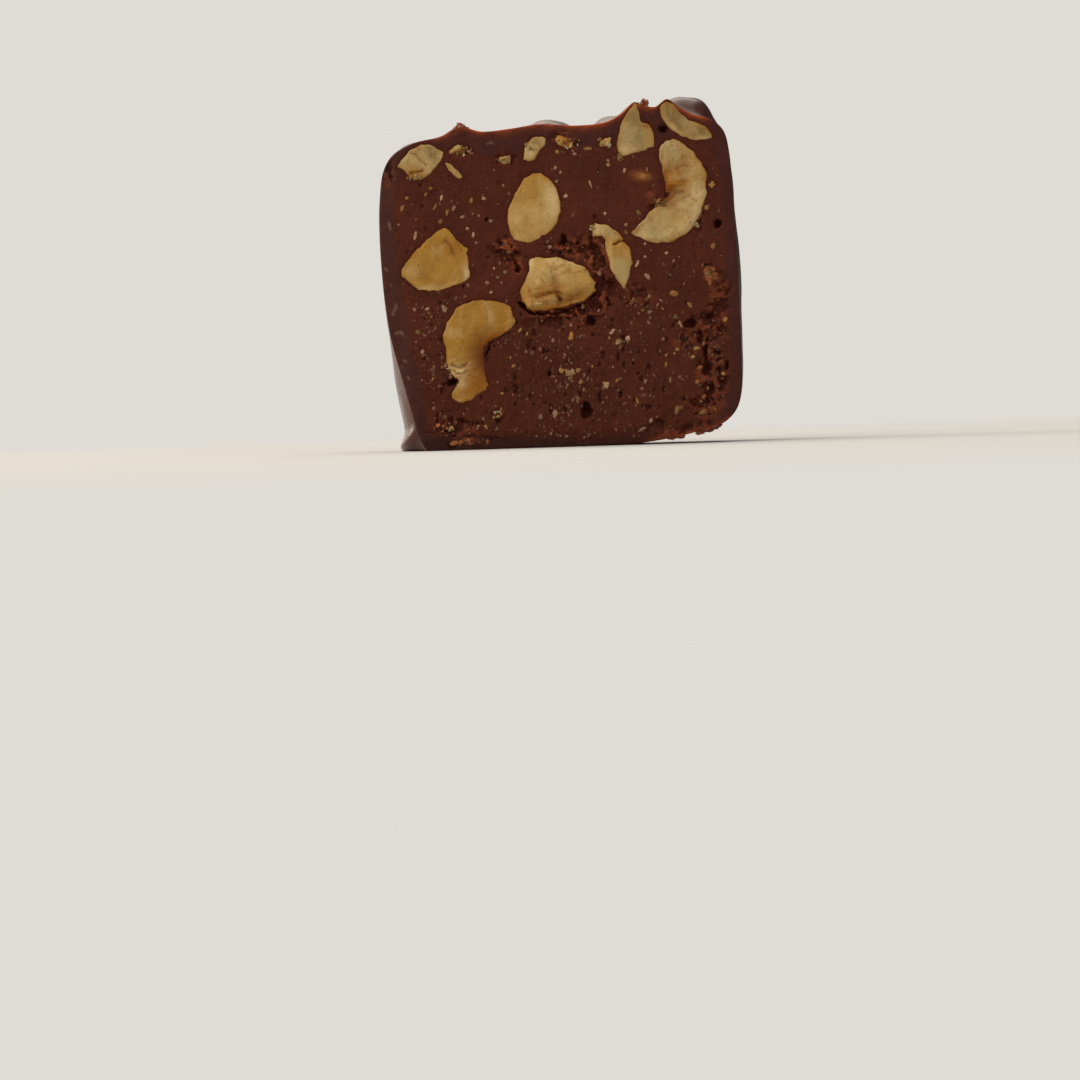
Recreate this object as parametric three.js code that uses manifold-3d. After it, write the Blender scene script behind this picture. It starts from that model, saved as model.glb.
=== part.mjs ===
// Half of a chocolate-coated nut praline. A cube-like sweet is cut upright, and the cut shows a coat,
// a paste filling and broken nut kernels. X runs along the cut, Y from the cut to the back, Z up.
import * as THREE from 'three';
import { ParametricGeometry } from 'three/addons/geometries/ParametricGeometry.js';
import { mergeVertices } from 'three/addons/utils/BufferGeometryUtils.js';
import Module from 'manifold-3d';

const wasm = await Module();
wasm.setup();

// Driving dimensions, in millimetres
const DEPTH = 17.6;          // from the cut to the back of the coat
const BACK_COAT = 1.8;       // thickness of the coat at the back
const GAP = 0.3;             // clearance between neighbouring pieces
const SIDE_ROUND = 5.0;      // rounding of the upright back corners
const TOP_ROUND = 3.6;       // rounding of the top back edge
const BASE_ROUND = 1.7;      // rounding of the bottom back edge
const POCKET_ROUND = 3.4;    // rounding at the back of the filling
const BACK_DOME = 0.5;       // swell of the back face
const CUT_BLEND = 1.9;       // depth over which the cut outline turns into the body outline
const AXIS = { x: 0.3, z: 16 };
const BODY_POWER = 5;        // squareness of the body, for the directions of the relief
const COLUMNS = 124;
const WELD = 1e-3;

// Outlines in the plane of the cut, as [x, z], counterclockwise from the lower left corner.
// The cut edge is the outer edge of the coat at the cut.
const CUT_EDGE = [
  [-13.65, 0], [-12.6, 0], [-6, 0], [2, 0], [7, 0.1], [10.5, 0.5], [13.6, 1.1], [16.2, 1.8], [17.7, 3.1], [18.35, 5],
  [18.45, 10], [18.35, 16], [18.2, 21], [18, 26], [17.85, 29.3], [17.3, 31.6], [16, 32.75], [14.2, 33.3],
  [12.8, 34.15], [11.7, 34.9], [10.5, 34.15], [9.3, 34.35], [8.4, 34.7], [7.2, 33.7], [5.6, 32.8],
  [2.6, 32.5], [-1.3, 32.75], [-4.2, 32.4], [-7.2, 32.2], [-9.4, 32.75], [-11.4, 31.8], [-14, 31.25],
  [-16.2, 30.1], [-17.2, 28.5], [-17.7, 25.3], [-17.8, 21.5], [-17.55, 16], [-17, 11.6], [-16, 7.6],
  [-14.9, 3.4], [-14.4, 1.7],
];

// The body edge is the widest section, a little way behind the cut, with a foot at the lower left.
const BODY_EDGE = [
  [-16.5, 0.3], [-13.5, 0], [-5, 0], [4, 0], [9, 0.25], [13.5, 1], [16.6, 2], [18.1, 3.6], [18.7, 5.8],
  [18.8, 11], [18.75, 17], [18.45, 23], [18.15, 28], [17.4, 30.7], [15.4, 32.1], [11, 32.4], [5, 31.9],
  [-1, 31.7], [-7, 31.5], [-12.5, 31.1], [-15.6, 30.2], [-17.1, 28.2], [-17.75, 24.5], [-17.8, 20],
  [-17.5, 14.5], [-16.9, 9], [-16.25, 4.8], [-16.05, 2],
];

// The filling edge is the line between the coat and the filling.
const FILLING_EDGE = [
  [-13.2, 1.9], [-9, 1.25], [-4, 0.9], [2, 0.6], [8, 0.65], [12, 1.2], [15, 2], [16.7, 3.6], [17.3, 6.5],
  [17.3, 12], [17.1, 19], [16.9, 25], [16.5, 29], [14.6, 30.7], [11, 30.8], [7, 30.3], [3, 30.3],
  [-1, 30.6], [-4.5, 29.9], [-8.5, 29.7], [-12, 29.9], [-15, 28.8], [-16.1, 26.4], [-16.2, 21], [-15.5, 14.5],
  [-14.5, 8], [-13.5, 3.6],
];

// Nut pieces. Each is a ladder of rungs across the piece, [x, z] on one edge and [x, z] on the other.
// The depth is how far the piece reaches into the sweet, and proud is how far it stands out of the cut.
const NUTS = {
  corner_nut: {
    depth: 3.2,
    rungs: [[-15.9, 29, -15.85, 28.8], [-15, 30, -15.2, 28.4], [-14.2, 30.7, -14.6, 27.85], [-13.2, 31.1, -13.5, 27.5],
      [-12.2, 31, -12.5, 27.9], [-11.4, 30.5, -11.7, 28.7], [-11, 30.1, -11.1, 29.6]],
  },
  sliver_nut: {
    depth: 1.3,
    rungs: [[-11.02, 29, -10.8, 29.25], [-10.75, 28.5, -10.3, 28.95], [-10.35, 27.9, -9.75, 28.4],
      [-9.85, 27.4, -9.3, 27.9], [-9.5, 27.3, -9.15, 27.6]],
  },
  upper_kernel: {
    depth: 4.6,
    rungs: [[-2.3, 27.85, -1.3, 27.85], [-3.3, 27, -0.4, 27.1], [-4, 25.8, 0.25, 26], [-4.6, 24.5, 0.55, 24.7],
      [-4.95, 23.2, 0.4, 23.2], [-4.75, 22.1, -0.2, 22.1], [-4.2, 21.2, -1.6, 21.2], [-3.6, 20.75, -2.7, 20.75]],
  },
  left_kernel: {
    depth: 4.4,
    rungs: [[-15.75, 18.5, -15.65, 17.9], [-14.9, 19.6, -14.7, 16.75], [-13.6, 21, -13.5, 16.2], [-12.2, 22.15, -12.2, 16.2],
      [-11, 22.6, -10.9, 16.45], [-10.1, 21.8, -9.8, 16.8], [-9.3, 21.05, -9.1, 17.1], [-8.8, 20.4, -8.75, 17.7],
      [-8.7, 19.8, -8.62, 18.4]],
  },
  centre_kernel: {
    depth: 4.8,
    proud: 0.5,
    rungs: [[-3.4, 16.7, -3.8, 15.8], [-2.95, 18, -3.6, 14.8], [-2.7, 19.2, -2.8, 14], [-1.2, 19.3, -1.2, 13.85],
      [0.4, 19.2, 0.4, 14.05], [1.8, 18.75, 1.9, 14.45], [3.1, 17.9, 3.1, 15], [3.95, 16.7, 3.95, 15.7]],
  },
  slim_crescent: {
    depth: 2.8,
    rungs: [[4, 22.7, 3.7, 22.3], [5, 22.4, 3.75, 21.25], [6.2, 21.7, 4.7, 21.2], [7.1, 20.6, 5, 20.2],
      [7.6, 19.3, 5.25, 18.9], [7.65, 18, 5.5, 17.8], [7.25, 16.8, 6.15, 16.8], [6.85, 15.8, 6.65, 15.8]],
  },
  big_crescent: {
    depth: 4.8,
    rungs: [[12.1, 30.9, 11.3, 30.7], [13.4, 30.2, 10.85, 29.8], [14.6, 29, 10.85, 28.4], [15.35, 27.4, 11, 27.1],
      [15.5, 25.6, 11.15, 26], [15.15, 23.9, 11.1, 25], [14.2, 22.2, 10.5, 24.2], [12.8, 20.85, 9.7, 23.6],
      [11, 20.25, 9.1, 22.9], [9.2, 20.55, 8.45, 22.25], [7.95, 21.3, 7.75, 21.55]],
  },
  block_nut: {
    depth: 2.6,
    rungs: [[7.1, 29.25, 9.4, 29.8], [6.6, 29.8, 10.35, 30.3], [6.65, 31.3, 10.1, 31.6], [6.85, 32.2, 9.9, 32.3],
      [7.1, 32.9, 9, 32.65], [7.5, 33.6, 8.8, 33.5], [8, 34.2, 8.72, 34.2], [8.3, 34.55, 8.65, 34.5]],
  },
  half_moon_nut: {
    depth: 2.4,
    rungs: [[11.65, 34.75, 11.4, 34.6], [12.1, 34.35, 11.05, 33.9], [12.7, 33.8, 11.1, 33.1], [13.4, 33.1, 11.6, 32.3],
      [14.2, 32.6, 12.4, 31.5], [15.1, 32.25, 13.6, 30.8], [15.8, 31.8, 14.9, 30.5], [16.25, 31.2, 16.1, 30.65]],
  },
  hook_crescent: {
    depth: 4.4,
    rungs: [[-4.7, 14.2, -4.3, 12.9], [-5.9, 15, -4.9, 12.1], [-7.4, 15.25, -6, 11.3], [-9, 15, -7, 10.85],
      [-10.4, 14.2, -7.4, 10.3], [-11.3, 13, -7.5, 9.7], [-11.65, 11.5, -7.5, 9], [-11.4, 10, -7.55, 8.3],
      [-11.35, 8.5, -7.5, 7.6], [-10.85, 7.6, -7.4, 7], [-10.35, 7, -7.3, 6.5], [-11, 6, -7.6, 5.9],
      [-10.9, 5.2, -8.7, 5.35], [-10.2, 4.75, -9.7, 4.8]],
  },
  small_nut: {
    depth: 1.8,
    rungs: [[-1.05, 31.6, -0.65, 31.3], [-1.9, 31.4, -0.9, 30.6], [-2.6, 30.85, -1.4, 29.9], [-3, 29.9, -1.9, 29.2],
      [-3.1, 29.2, -2.5, 28.95]],
  },
  left_chip: {
    depth: 1,
    rungs: [[-10.6, 30.3, -10.5, 29.9], [-10.05, 30.6, -9.9, 30.1], [-9.5, 30.95, -9.2, 30.4], [-8.8, 30.6, -8.7, 30.4]],
  },
  middle_chip: {
    depth: 0.9,
    rungs: [[-5.4, 29.35, -5.2, 28.95], [-4.8, 29.6, -4.6, 28.95], [-4.2, 29.65, -4.1, 29.3]],
  },
  top_chip: {
    depth: 1,
    rungs: [[0.3, 31.1, 0.45, 30.6], [0.9, 31.4, 1, 30.4], [1.5, 31.2, 1.6, 30.3], [2, 30.7, 2, 30.35]],
  },
  right_chip: {
    depth: 1,
    rungs: [[4.8, 30.5, 4.9, 30.3], [5.15, 30.95, 5.3, 30.25], [5.6, 31.15, 5.8, 30.3], [5.95, 30.8, 6.05, 30.5]],
  },
};
const RUNG_STEPS = 1.5;      // rows of facets for each rung of a nut piece
const NUT_ACROSS = 5;        // facets across each face of a nut piece
const CHIP_ACROSS = 3;
const CHIP_DEPTH = 1.5;      // pieces shallower than this are chips
const EDGE_FULLNESS = 0.75;  // how steeply the hidden side of a nut leaves the cut

// Nuts under the coat raise its outside: [x, y, z] of the middle, radius and height
const BUMPS = [
  [-0.7, 3.4, 31.8, 2, 1.5], [5.5, 3.4, 32, 1.5, 1.7], [8.6, 2.4, 32.2, 1.5, 2.6], [13.2, 2.8, 32.4, 2.2, 2.75],
  [15.6, 4.4, 32, 2, 0.9],
  [-10.5, 8, 31.4, 2.6, 0.9], [-4.6, 11.5, 31.6, 2.4, 1.2], [3.2, 11, 31.8, 2.8, 1], [9.8, 10.6, 32.3, 2.4, 1.5],
  [-14, 4, 30.8, 2, 0.5], [-17.8, 9, 24, 4, 0.1], [18.6, 10, 20, 5, 0.1], [-6, 17.6, 20, 5, 0.45],
  [8, 17.6, 12, 5.5, 0.4],
];

// Pores and torn places in the filling: [x, z] of the middle, half width, half height and depth
const PORES = [
  [0.85, 20.2, 0.4, 0.5, 0.9], [3.2, 12.65, 0.6, 0.6, 1], [2.55, 3.65, 0.6, 0.85, 1.1], [16.35, 22.1, 0.4, 0.5, 0.6],
  [4.85, 16.3, 0.6, 0.55, 0.9], [13.4, 12.2, 0.7, 0.5, 0.8], [15.3, 12.7, 0.8, 0.5, 0.6], [14.9, 7.5, 0.55, 0.9, 0.7],
  [15.6, 16.4, 0.7, 0.5, 0.5], [15.8, 10, 0.5, 0.8, 0.5], [16, 4.4, 0.6, 0.6, 0.5], [14.5, 3.6, 0.7, 0.4, 0.4],
  [-0.8, 12.9, 1.7, 0.45, 0.9], [-12, 7.2, 0.45, 0.4, 0.9], [-5.5, 19.2, 0.5, 0.45, 0.6], [-11.5, 2.6, 0.8, 0.4, 0.4],
];
const PORE_FACETS = [10, 6];

// Flakes of coat on the edge of the cut: [x, z] of the foot, width, height and lean in degrees
const FLAKES = [
  [-9.4, 32.45, 1.4, 0.75, 12], [9.5, 34.1, 0.8, 0.9, -8], [14.9, 1.6, 1.3, 0.6, 172], [12, 0.85, 1, 0.5, 184],
];
const FLAKE_THICKNESS = 0.5;
const FLAKE_SET_BACK = 0.6;

const COLOURS = { coating: 0x2b1614, filling: 0x4a241b, nut: 0xc49a5a };

const { lerp, smoothstep, degToRad } = THREE.MathUtils;

// A closed mesh as a solid, with doubled points welded, empty facets dropped and faces turned outwards.
function solidFrom(geometry) {
  geometry.deleteAttribute('normal');
  geometry.deleteAttribute('uv');
  const welded = mergeVertices(geometry, WELD);
  const corners = welded.index.array;
  const facets = [];
  for (let i = 0; i < corners.length; i += 3) {
    const [a, b, c] = [corners[i], corners[i + 1], corners[i + 2]];
    if (a !== b && b !== c && c !== a) facets.push([a, b, c]);
  }
  const place = new THREE.Vector3();
  const pointOf = (corner) => place.fromBufferAttribute(welded.attributes.position, corner).clone();
  const volume = facets.reduce((sum, [a, b, c]) => sum + pointOf(a).dot(pointOf(b).cross(pointOf(c))), 0);
  const outward = volume > 0 ? facets : facets.map(([a, b, c]) => [a, c, b]);
  return new wasm.Manifold(new wasm.Mesh({
    numProp: 3,
    vertProperties: Float32Array.from(welded.attributes.position.array),
    triVerts: Uint32Array.from(outward.flat()),
  }));
}

// A closed surface from a function of a column round it and a row along it.
function surface(columns, rows, pointAt) {
  return solidFrom(new ParametricGeometry((u, v, target) => {
    target.copy(pointAt(Math.round(u * columns) % columns, Math.round(v * (rows - 1))));
  }, columns, rows - 1));
}

function outlineCurve(outline) {
  return new THREE.CatmullRomCurve3(outline.map(([x, z]) => new THREE.Vector3(x, 0, z)), true, 'centripetal');
}

const bearing = (point) => Math.atan2(point.z - AXIS.z, point.x - AXIS.x);

// The distance from the axis to an outline at each bearing.
function reachesOf(outline, bearings) {
  const samples = outlineCurve(outline).getSpacedPoints(COLUMNS * 8)
    .map((point) => ({ angle: bearing(point), reach: Math.hypot(point.x - AXIS.x, point.z - AXIS.z) }))
    .sort((a, b) => a.angle - b.angle);
  return bearings.map((angle) => {
    const next = samples.findIndex((sample) => sample.angle >= angle);
    const high = samples[Math.max(next, 0)];
    const low = samples[(next + samples.length - 1) % samples.length];
    const span = high.angle - low.angle;
    return span > 0 ? lerp(low.reach, high.reach, (angle - low.angle) / span) : high.reach;
  });
}

const bearings = outlineCurve(CUT_EDGE).getSpacedPoints(COLUMNS).slice(0, COLUMNS).map(bearing);
const cutReach = reachesOf(CUT_EDGE, bearings);
const bodyReach = reachesOf(BODY_EDGE, bearings);
const fillingReach = reachesOf(FILLING_EDGE, bearings);

// Rounding of the back edge, which is large at the sides, less at the top and small at the base.
function backRound(angle) {
  const up = Math.sin(angle);
  return SIDE_ROUND - (SIDE_ROUND - TOP_ROUND) * smoothstep(up, 0.45, 0.8)
    - (SIDE_ROUND - BASE_ROUND) * smoothstep(-up, 0.68, 0.86);
}

// Stations from the middle of the back, round its edge and along the wall to the cut. Each has the
// share of the rounding that is used up, the share of the width and the share of the turn to the back.
function stationsOf(capRows, roundRows, wallRows) {
  const stations = [];
  for (let i = 0; i < capRows; i++) stations.push({ inset: 1, width: i / capRows, turn: 1, wall: 0 });
  for (let i = roundRows; i > 0; i--) {
    const turn = (i / roundRows) * Math.PI / 2;
    stations.push({ inset: 1 - Math.cos(turn), width: 1, turn: Math.sin(turn), wall: 0 });
  }
  for (let i = 0; i <= wallRows; i++) stations.push({ inset: 0, width: 1, turn: 0, wall: (i / wallRows) ** 0.75 });
  return stations;
}

// The outward direction of the body at a point, between the side direction and the back.
function outward(point, turn) {
  const side = (offset, half) => Math.sign(offset) * Math.abs(offset / half) ** (BODY_POWER - 1);
  const direction = new THREE.Vector3(side(point.x - AXIS.x, 18), 0, side(point.z - AXIS.z, 16)).normalize();
  return direction.multiplyScalar(Math.sqrt(1 - turn * turn)).setY(turn).normalize();
}

function raised(point, turn) {
  const lift = BUMPS.reduce((sum, [x, y, z, radius, height]) => {
    const near = point.distanceToSquared(new THREE.Vector3(x, y, z)) / radius ** 2;
    return sum + height * Math.exp(-near);
  }, 0) * smoothstep(point.y, 0, CUT_BLEND);
  const moved = point.clone().addScaledVector(outward(point, turn), lift);
  moved.z = Math.max(moved.z, 0);
  return moved;
}

function polar(angle, reach, y) {
  return new THREE.Vector3(AXIS.x + Math.cos(angle) * reach, y, AXIS.z + Math.sin(angle) * reach);
}

function outerPoint(column, { inset, width, turn, wall }) {
  const angle = bearings[column];
  const rounding = backRound(angle);
  const y = lerp(DEPTH - rounding * (1 - turn), 0, wall) + BACK_DOME * (turn === 1 ? 1 - width * width : 0);
  const side = lerp(cutReach[column], bodyReach[column], 1 - Math.exp(-y / CUT_BLEND));
  return raised(polar(angle, (side - inset * rounding) * width, y), turn);
}

// The wall of the pocket in the coat, or with a clearance the wall of the filling in it.
function pocketPoint(column, { inset, width, turn, wall }, clearance) {
  const floor = DEPTH - BACK_COAT - clearance;
  const y = lerp(floor - POCKET_ROUND * (1 - turn), 0, wall);
  return polar(bearings[column], (fillingReach[column] - clearance - inset * POCKET_ROUND) * width, y);
}

function coatSolid() {
  const outside = stationsOf(4, 5, 9);
  const inside = stationsOf(1, 3, 1).reverse();
  return surface(COLUMNS, outside.length + inside.length, (column, row) => (row < outside.length
    ? outerPoint(column, outside[row])
    : pocketPoint(column, inside[row - outside.length], 0)));
}

function fillingSolid() {
  const inside = stationsOf(1, 3, 1);
  return surface(COLUMNS, inside.length + 1, (column, row) => (row < inside.length
    ? pocketPoint(column, inside[row], GAP)
    : polar(bearings[column], 0, 0)));
}

// A nut piece: its cut face is a sheet between the two edges of the ladder, and its hidden side is
// a rounded sheet on the same edges. With a margin it is the pocket that holds the piece.
function nutSolid({ rungs, depth, proud = 0 }, margin = 0) {
  const edges = [0, 2].map((first) => new THREE.CatmullRomCurve3(
    rungs.map((rung) => new THREE.Vector3(rung[first], 0, rung[first + 1])), false, 'centripetal'));
  const across = depth < CHIP_DEPTH ? CHIP_ACROSS : NUT_ACROSS;
  const rows = Math.ceil((rungs.length - 1) * RUNG_STEPS) + 1;
  return surface(across * 2, rows, (column, row) => {
    const along = row / (rows - 1);
    const [near, far] = edges.map((edge) => edge.getPoint(along));
    const middle = near.clone().lerp(far, 0.5);
    const half = far.clone().sub(near).multiplyScalar(0.5);
    const run = edges[0].getTangent(along).add(edges[1].getTangent(along)).normalize();
    half.setLength(half.length() + margin);
    middle.addScaledVector(run, margin * (row === 0 ? -1 : Number(row === rows - 1)));
    const hidden = column > across;
    const offset = 1 - 2 * (hidden ? 2 * across - column : column) / across;
    const fullness = (1 - offset * offset) * (1 - (2 * along - 1) ** 2);
    const reach = hidden ? (depth + margin) * fullness ** (EDGE_FULLNESS / 2) : -(proud + margin) * fullness;
    return middle.addScaledVector(half, offset).setY(reach);
  });
}

function poreSolid([x, z, halfWidth, halfHeight, depth]) {
  const pit = new THREE.SphereGeometry(1, ...PORE_FACETS);
  pit.scale(halfWidth, depth, halfHeight);
  pit.translate(x, 0, z);
  return solidFrom(pit);
}

function flakeSolid([x, z, width, height, lean]) {
  const flake = new THREE.ConeGeometry(0.5, 1, 4);
  flake.rotateX(Math.PI / 2);
  flake.translate(0, 0, 0.5);
  flake.scale(width, FLAKE_THICKNESS, height);
  flake.rotateY(degToRad(lean));
  flake.translate(x, FLAKE_SET_BACK, z);
  return solidFrom(flake);
}

// The largest body of a solid, without scraps that a cut sets loose.
function mainBody(solid) {
  return solid.decompose().reduce((best, body) => (body.volume() > best.volume() ? body : best));
}

function meshOf(name, solid, colour, roughness) {
  const { numProp, vertProperties, triVerts } = mainBody(solid).getMesh();
  const geometry = new THREE.BufferGeometry();
  geometry.setAttribute('position', new THREE.BufferAttribute(vertProperties, numProp));
  geometry.setIndex(new THREE.BufferAttribute(triVerts, 1));
  geometry.computeVertexNormals();
  const mesh = new THREE.Mesh(geometry, new THREE.MeshStandardMaterial({ color: colour, roughness, metalness: 0 }));
  mesh.name = name;
  return mesh;
}

const nuts = Object.entries(NUTS);
const pockets = nuts.map(([, nut]) => nutSolid(nut, GAP));
const without = (solid, tools) => tools.reduce((rest, tool) => rest.subtract(tool), solid);
const coat = FLAKES.reduce((joined, flake) => joined.add(flakeSolid(flake)), coatSolid());

const praline = new THREE.Group();
praline.name = 'cut_nut_praline';
praline.add(meshOf('coating', without(coat, pockets), COLOURS.coating, 0.35));
praline.add(meshOf('filling', without(fillingSolid(), [...pockets, ...PORES.map(poreSolid)]), COLOURS.filling, 0.6));
nuts.forEach(([name, nut]) => praline.add(meshOf(name, nutSolid(nut), COLOURS.nut, 0.65)));

// The origin is under the middle of the sweet, on the plane of its base.
const box = new THREE.Box3().setFromObject(praline);
const middle = box.getCenter(new THREE.Vector3());
praline.children.forEach((mesh) => mesh.geometry.translate(-middle.x, -middle.y, -box.min.z));

export default praline;
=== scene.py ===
"""Half of a chocolate-coated nut praline, dressed over its solids.

Every shape is worked out in millimetres in the frame of the cut: x runs to the right along the cut face, y
from the cut to the back and z up from the base. A spot is a place on the cut, as x and z. Meshes are then
moved to the part's own frame in metres.
"""

import logging
from collections.abc import Callable, Sequence
from dataclasses import dataclass
from enum import Enum
from functools import cache, cached_property

import bmesh
import bpy
import numpy as np
from mathutils import Matrix, Vector

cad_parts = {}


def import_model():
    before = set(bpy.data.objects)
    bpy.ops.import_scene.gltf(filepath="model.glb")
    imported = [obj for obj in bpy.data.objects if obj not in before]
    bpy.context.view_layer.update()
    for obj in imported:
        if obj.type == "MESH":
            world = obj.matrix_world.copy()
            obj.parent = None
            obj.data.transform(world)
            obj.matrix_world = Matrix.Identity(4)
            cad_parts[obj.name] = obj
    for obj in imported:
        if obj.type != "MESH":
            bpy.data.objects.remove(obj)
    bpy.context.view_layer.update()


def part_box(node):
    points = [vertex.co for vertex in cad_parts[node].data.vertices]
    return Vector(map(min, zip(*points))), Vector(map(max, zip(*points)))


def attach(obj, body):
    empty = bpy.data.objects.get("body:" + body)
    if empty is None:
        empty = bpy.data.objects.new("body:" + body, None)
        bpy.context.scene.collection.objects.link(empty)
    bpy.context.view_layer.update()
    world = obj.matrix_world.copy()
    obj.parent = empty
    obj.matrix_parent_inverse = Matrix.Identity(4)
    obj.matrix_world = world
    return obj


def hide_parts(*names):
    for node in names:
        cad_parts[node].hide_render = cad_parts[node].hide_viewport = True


Array = np.ndarray
Points = tuple[tuple[float, ...], ...]
Triple = tuple[float, float, float]
Material = bpy.types.Material
Piece = bpy.types.Object
Socket = bpy.types.NodeSocket
Inputs = dict[str | int, object]
LOG = logging.getLogger("praline")

MM = 0.001
TINY = 1e-9
FAR_OUTSIDE = -9.0

# Sizes of the whole sweet, in millimetres
DEPTH = 17.6
BACK_COAT = 1.8
SIDE_ROUND = 5.0
TOP_ROUND = 3.6
BASE_ROUND = 1.7
POCKET_ROUND = 3.4
POCKET_FLOOR = DEPTH - BACK_COAT
BACK_DOME = 0.5
CUT_BLEND = 1.9
AXIS = np.array([0.3, 16.0])
HALF_BODY = np.array([18.0, 16.0])
BODY_POWER = 5


class Hue(Enum):
    """Colours of the sweet in even light, as red, green and blue from 0 to 255."""

    PASTE = (68, 28, 14)
    # Oil soaked into the paste by nuts, and painted shade in hollows.
    PASTE_OIL_AND_SHADE = (58, 17, 7)
    PASTE_TORN = (126, 62, 36)
    COAT_CUT = (59, 26, 19)
    COAT_OUTSIDE = (56, 27, 21)
    # Painted orange glow of light through the coat where it is thin at its edges.
    PAINTED_EDGE_GLOW = (150, 66, 22)
    # Pale scuffs, and painted light that makes the coat's cut lighter on the left.
    COAT_SCUFF_AND_LIGHT = (128, 104, 84)
    GOLD = (146, 106, 42)
    TAN = (161, 127, 70)
    PALE = (151, 129, 84)
    CREAM = (184, 159, 110)
    WHITE = (200, 182, 146)
    AMBER = (122, 66, 5)
    # Dark nut skin, and painted shade in cracks and on shaded sides of nuts.
    SKIN_AND_SHADE = (82, 38, 8)
    DULL = (112, 91, 51)
    CRUMB_BROWN = (86, 47, 28)
    CRUMB_ORANGE = (130, 76, 38)
    BIT_CREAM = (166, 126, 96)
    BIT_GOLD = (154, 108, 52)
    FLAKE = (106, 54, 35)
    FLECK_PALE = (160, 110, 82)
    FLECK_TAN = (122, 76, 48)
    # Painted shade for pits and drag lines in the paste.
    PIT_SHADE = (30, 11, 6)
    BACKDROP = (223, 220, 214)

    def linear(self) -> Array:
        """Returns the colour as linear light from 0 to 1."""
        part = np.array(self.value) / 255.0
        return np.where(part <= 0.04045, part / 12.92, ((part + 0.055) / 1.055) ** 2.4)

    def opaque(self) -> tuple[float, ...]:
        """Returns the linear colour with full cover."""
        return (*self.linear(), 1.0)


# Chance patterns

HASH_STEPS = np.array([374761393, 668265263, 1440662683], dtype=np.int64)
HASH_SEED = 1274126177
HASH_MIX = 1103515245
HASH_MASK = 0xFFFFFFFF
HALF_MASK = 0xFFFF
FRACTAL_GAIN = 1.4


def chance_at(cell: Array, seed: int) -> Array:
    """Draws a chance number for each lattice cell by mixing the bits of its place.

    Args:
        cell: Whole numbers, two or three to a cell.
        seed: Number of the pattern.

    Returns:
        One number from 0 to 1 for each cell.
    """
    key = (cell @ HASH_STEPS[: cell.shape[-1]] + seed * HASH_SEED) & HASH_MASK
    key = ((key ^ (key >> 13)) * HASH_MIX) & HASH_MASK
    return ((key ^ (key >> 16)) & HALF_MASK) / (HALF_MASK + 1)


def lattice_noise(points: Array, pitch: float, seed: int) -> Array:
    """Smooth noise: chance values on a cubic lattice, blended over each cell by a quintic ramp.

    Args:
        points: Places in millimetres, with x, y and z on the last axis.
        pitch: Width of a lattice cell.
        seed: Number of the pattern.

    Returns:
        One value from -1 to 1 for each place.
    """
    scaled = points / pitch
    cell = np.floor(scaled).astype(np.int64)
    ramp = scaled - cell
    ramp = ramp**3 * (ramp * (ramp * 6 - 15) + 10)
    total = np.zeros(points.shape[:-1])
    for corner in np.ndindex(2, 2, 2):
        weight = np.prod(np.where(corner, ramp, 1 - ramp), axis=-1)
        total += (2 * chance_at(cell + corner, seed) - 1) * weight
    return total


def fractal(points: Array, pitch: float, octaves: int, seed: int) -> Array:
    """Sums lattice noise at halving pitch and halving strength.

    Args:
        points: Places in millimetres, or spots of the cut.
        pitch: Pitch of the coarsest layer.
        octaves: Number of layers.
        seed: Number of the pattern.

    Returns:
        One value, mostly from -1 to 1, for each place.
    """
    if points.shape[-1] == 2:
        points = np.insert(points, 1, 0.0, axis=-1)
    layers = [lattice_noise(points, pitch / 2**i, seed + i) / 2**i for i in range(octaves)]
    return sum(layers) / (2 - 2 ** (1 - octaves)) * FRACTAL_GAIN


class Pattern(Enum):
    """Chance patterns of the sweet: pitch of the coarsest layer in millimetres, number of layers and seed."""

    KNIFE_SWAY = (3.5, 3, 13)
    KNIFE_TOOTH = (0.5, 2, 15)
    NUT_BEDS = (0.5, 2, 17)
    PASTE_CLOUDS = (4.0, 3, 19)
    PASTE_STRANDS = (1.4, 5, 51)
    PASTE_PITS = (0.5, 4, 33)
    CREVICE_GAPS = (0.9, 2, 9)
    FLECK_DRIFTS = (2.6, 3, 81)
    CUT_COAT_EDGE = (1.3, 3, 21)
    CUT_COAT_CLOUDS = (3.0, 3, 25)
    SCUFF_GAPS = (0.4, 2, 27)
    THIN_EDGE = (1.6, 3, 39)
    NUT_GRAIN = (1.2, 4, 40)
    NUT_CLOUDS = (2.0, 4, 50)
    NUT_THREADS = (0.6, 3, 80)
    NUT_RIM_TONE = (1.5, 2, 70)
    NUT_BREAKS = (2.0, 2, 95)
    STAIN_STREAKS = (0.35, 2, 43)
    COAT_CLOUDS = (5.0, 3, 71)
    COAT_LUMPS = (6.5, 3, 63)
    TOP_LUMPS = (3.4, 2, 65)
    FLUTE_SWAY = (9.0, 2, 61)
    DRIP_STRETCHES = (9.0, 1, 67)
    SKIRT_LUMPS = (1.4, 3, 69)
    BASE_CRUMBS = (0.9, 3, 75)

    def at(self, points: Array, shift: int = 0) -> Array:
        """Returns the pattern at points, with a shift added to its seed."""
        pitch, octaves, seed = self.value
        return fractal(points, pitch, octaves, seed + shift)


def drift(spots: Array, pitch: float, octaves: int, seeds: tuple[int, int]) -> Array:
    """Returns a chance shift of each spot along x and z, mostly from -1 to 1."""
    return np.stack([fractal(spots, pitch, octaves, seed) for seed in seeds], axis=-1)


def jagged(spots: Array) -> Array:
    """Returns the shift that makes the outlines of nuts jagged."""
    return drift(spots, 0.9, 4, (31, 37))


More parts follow.
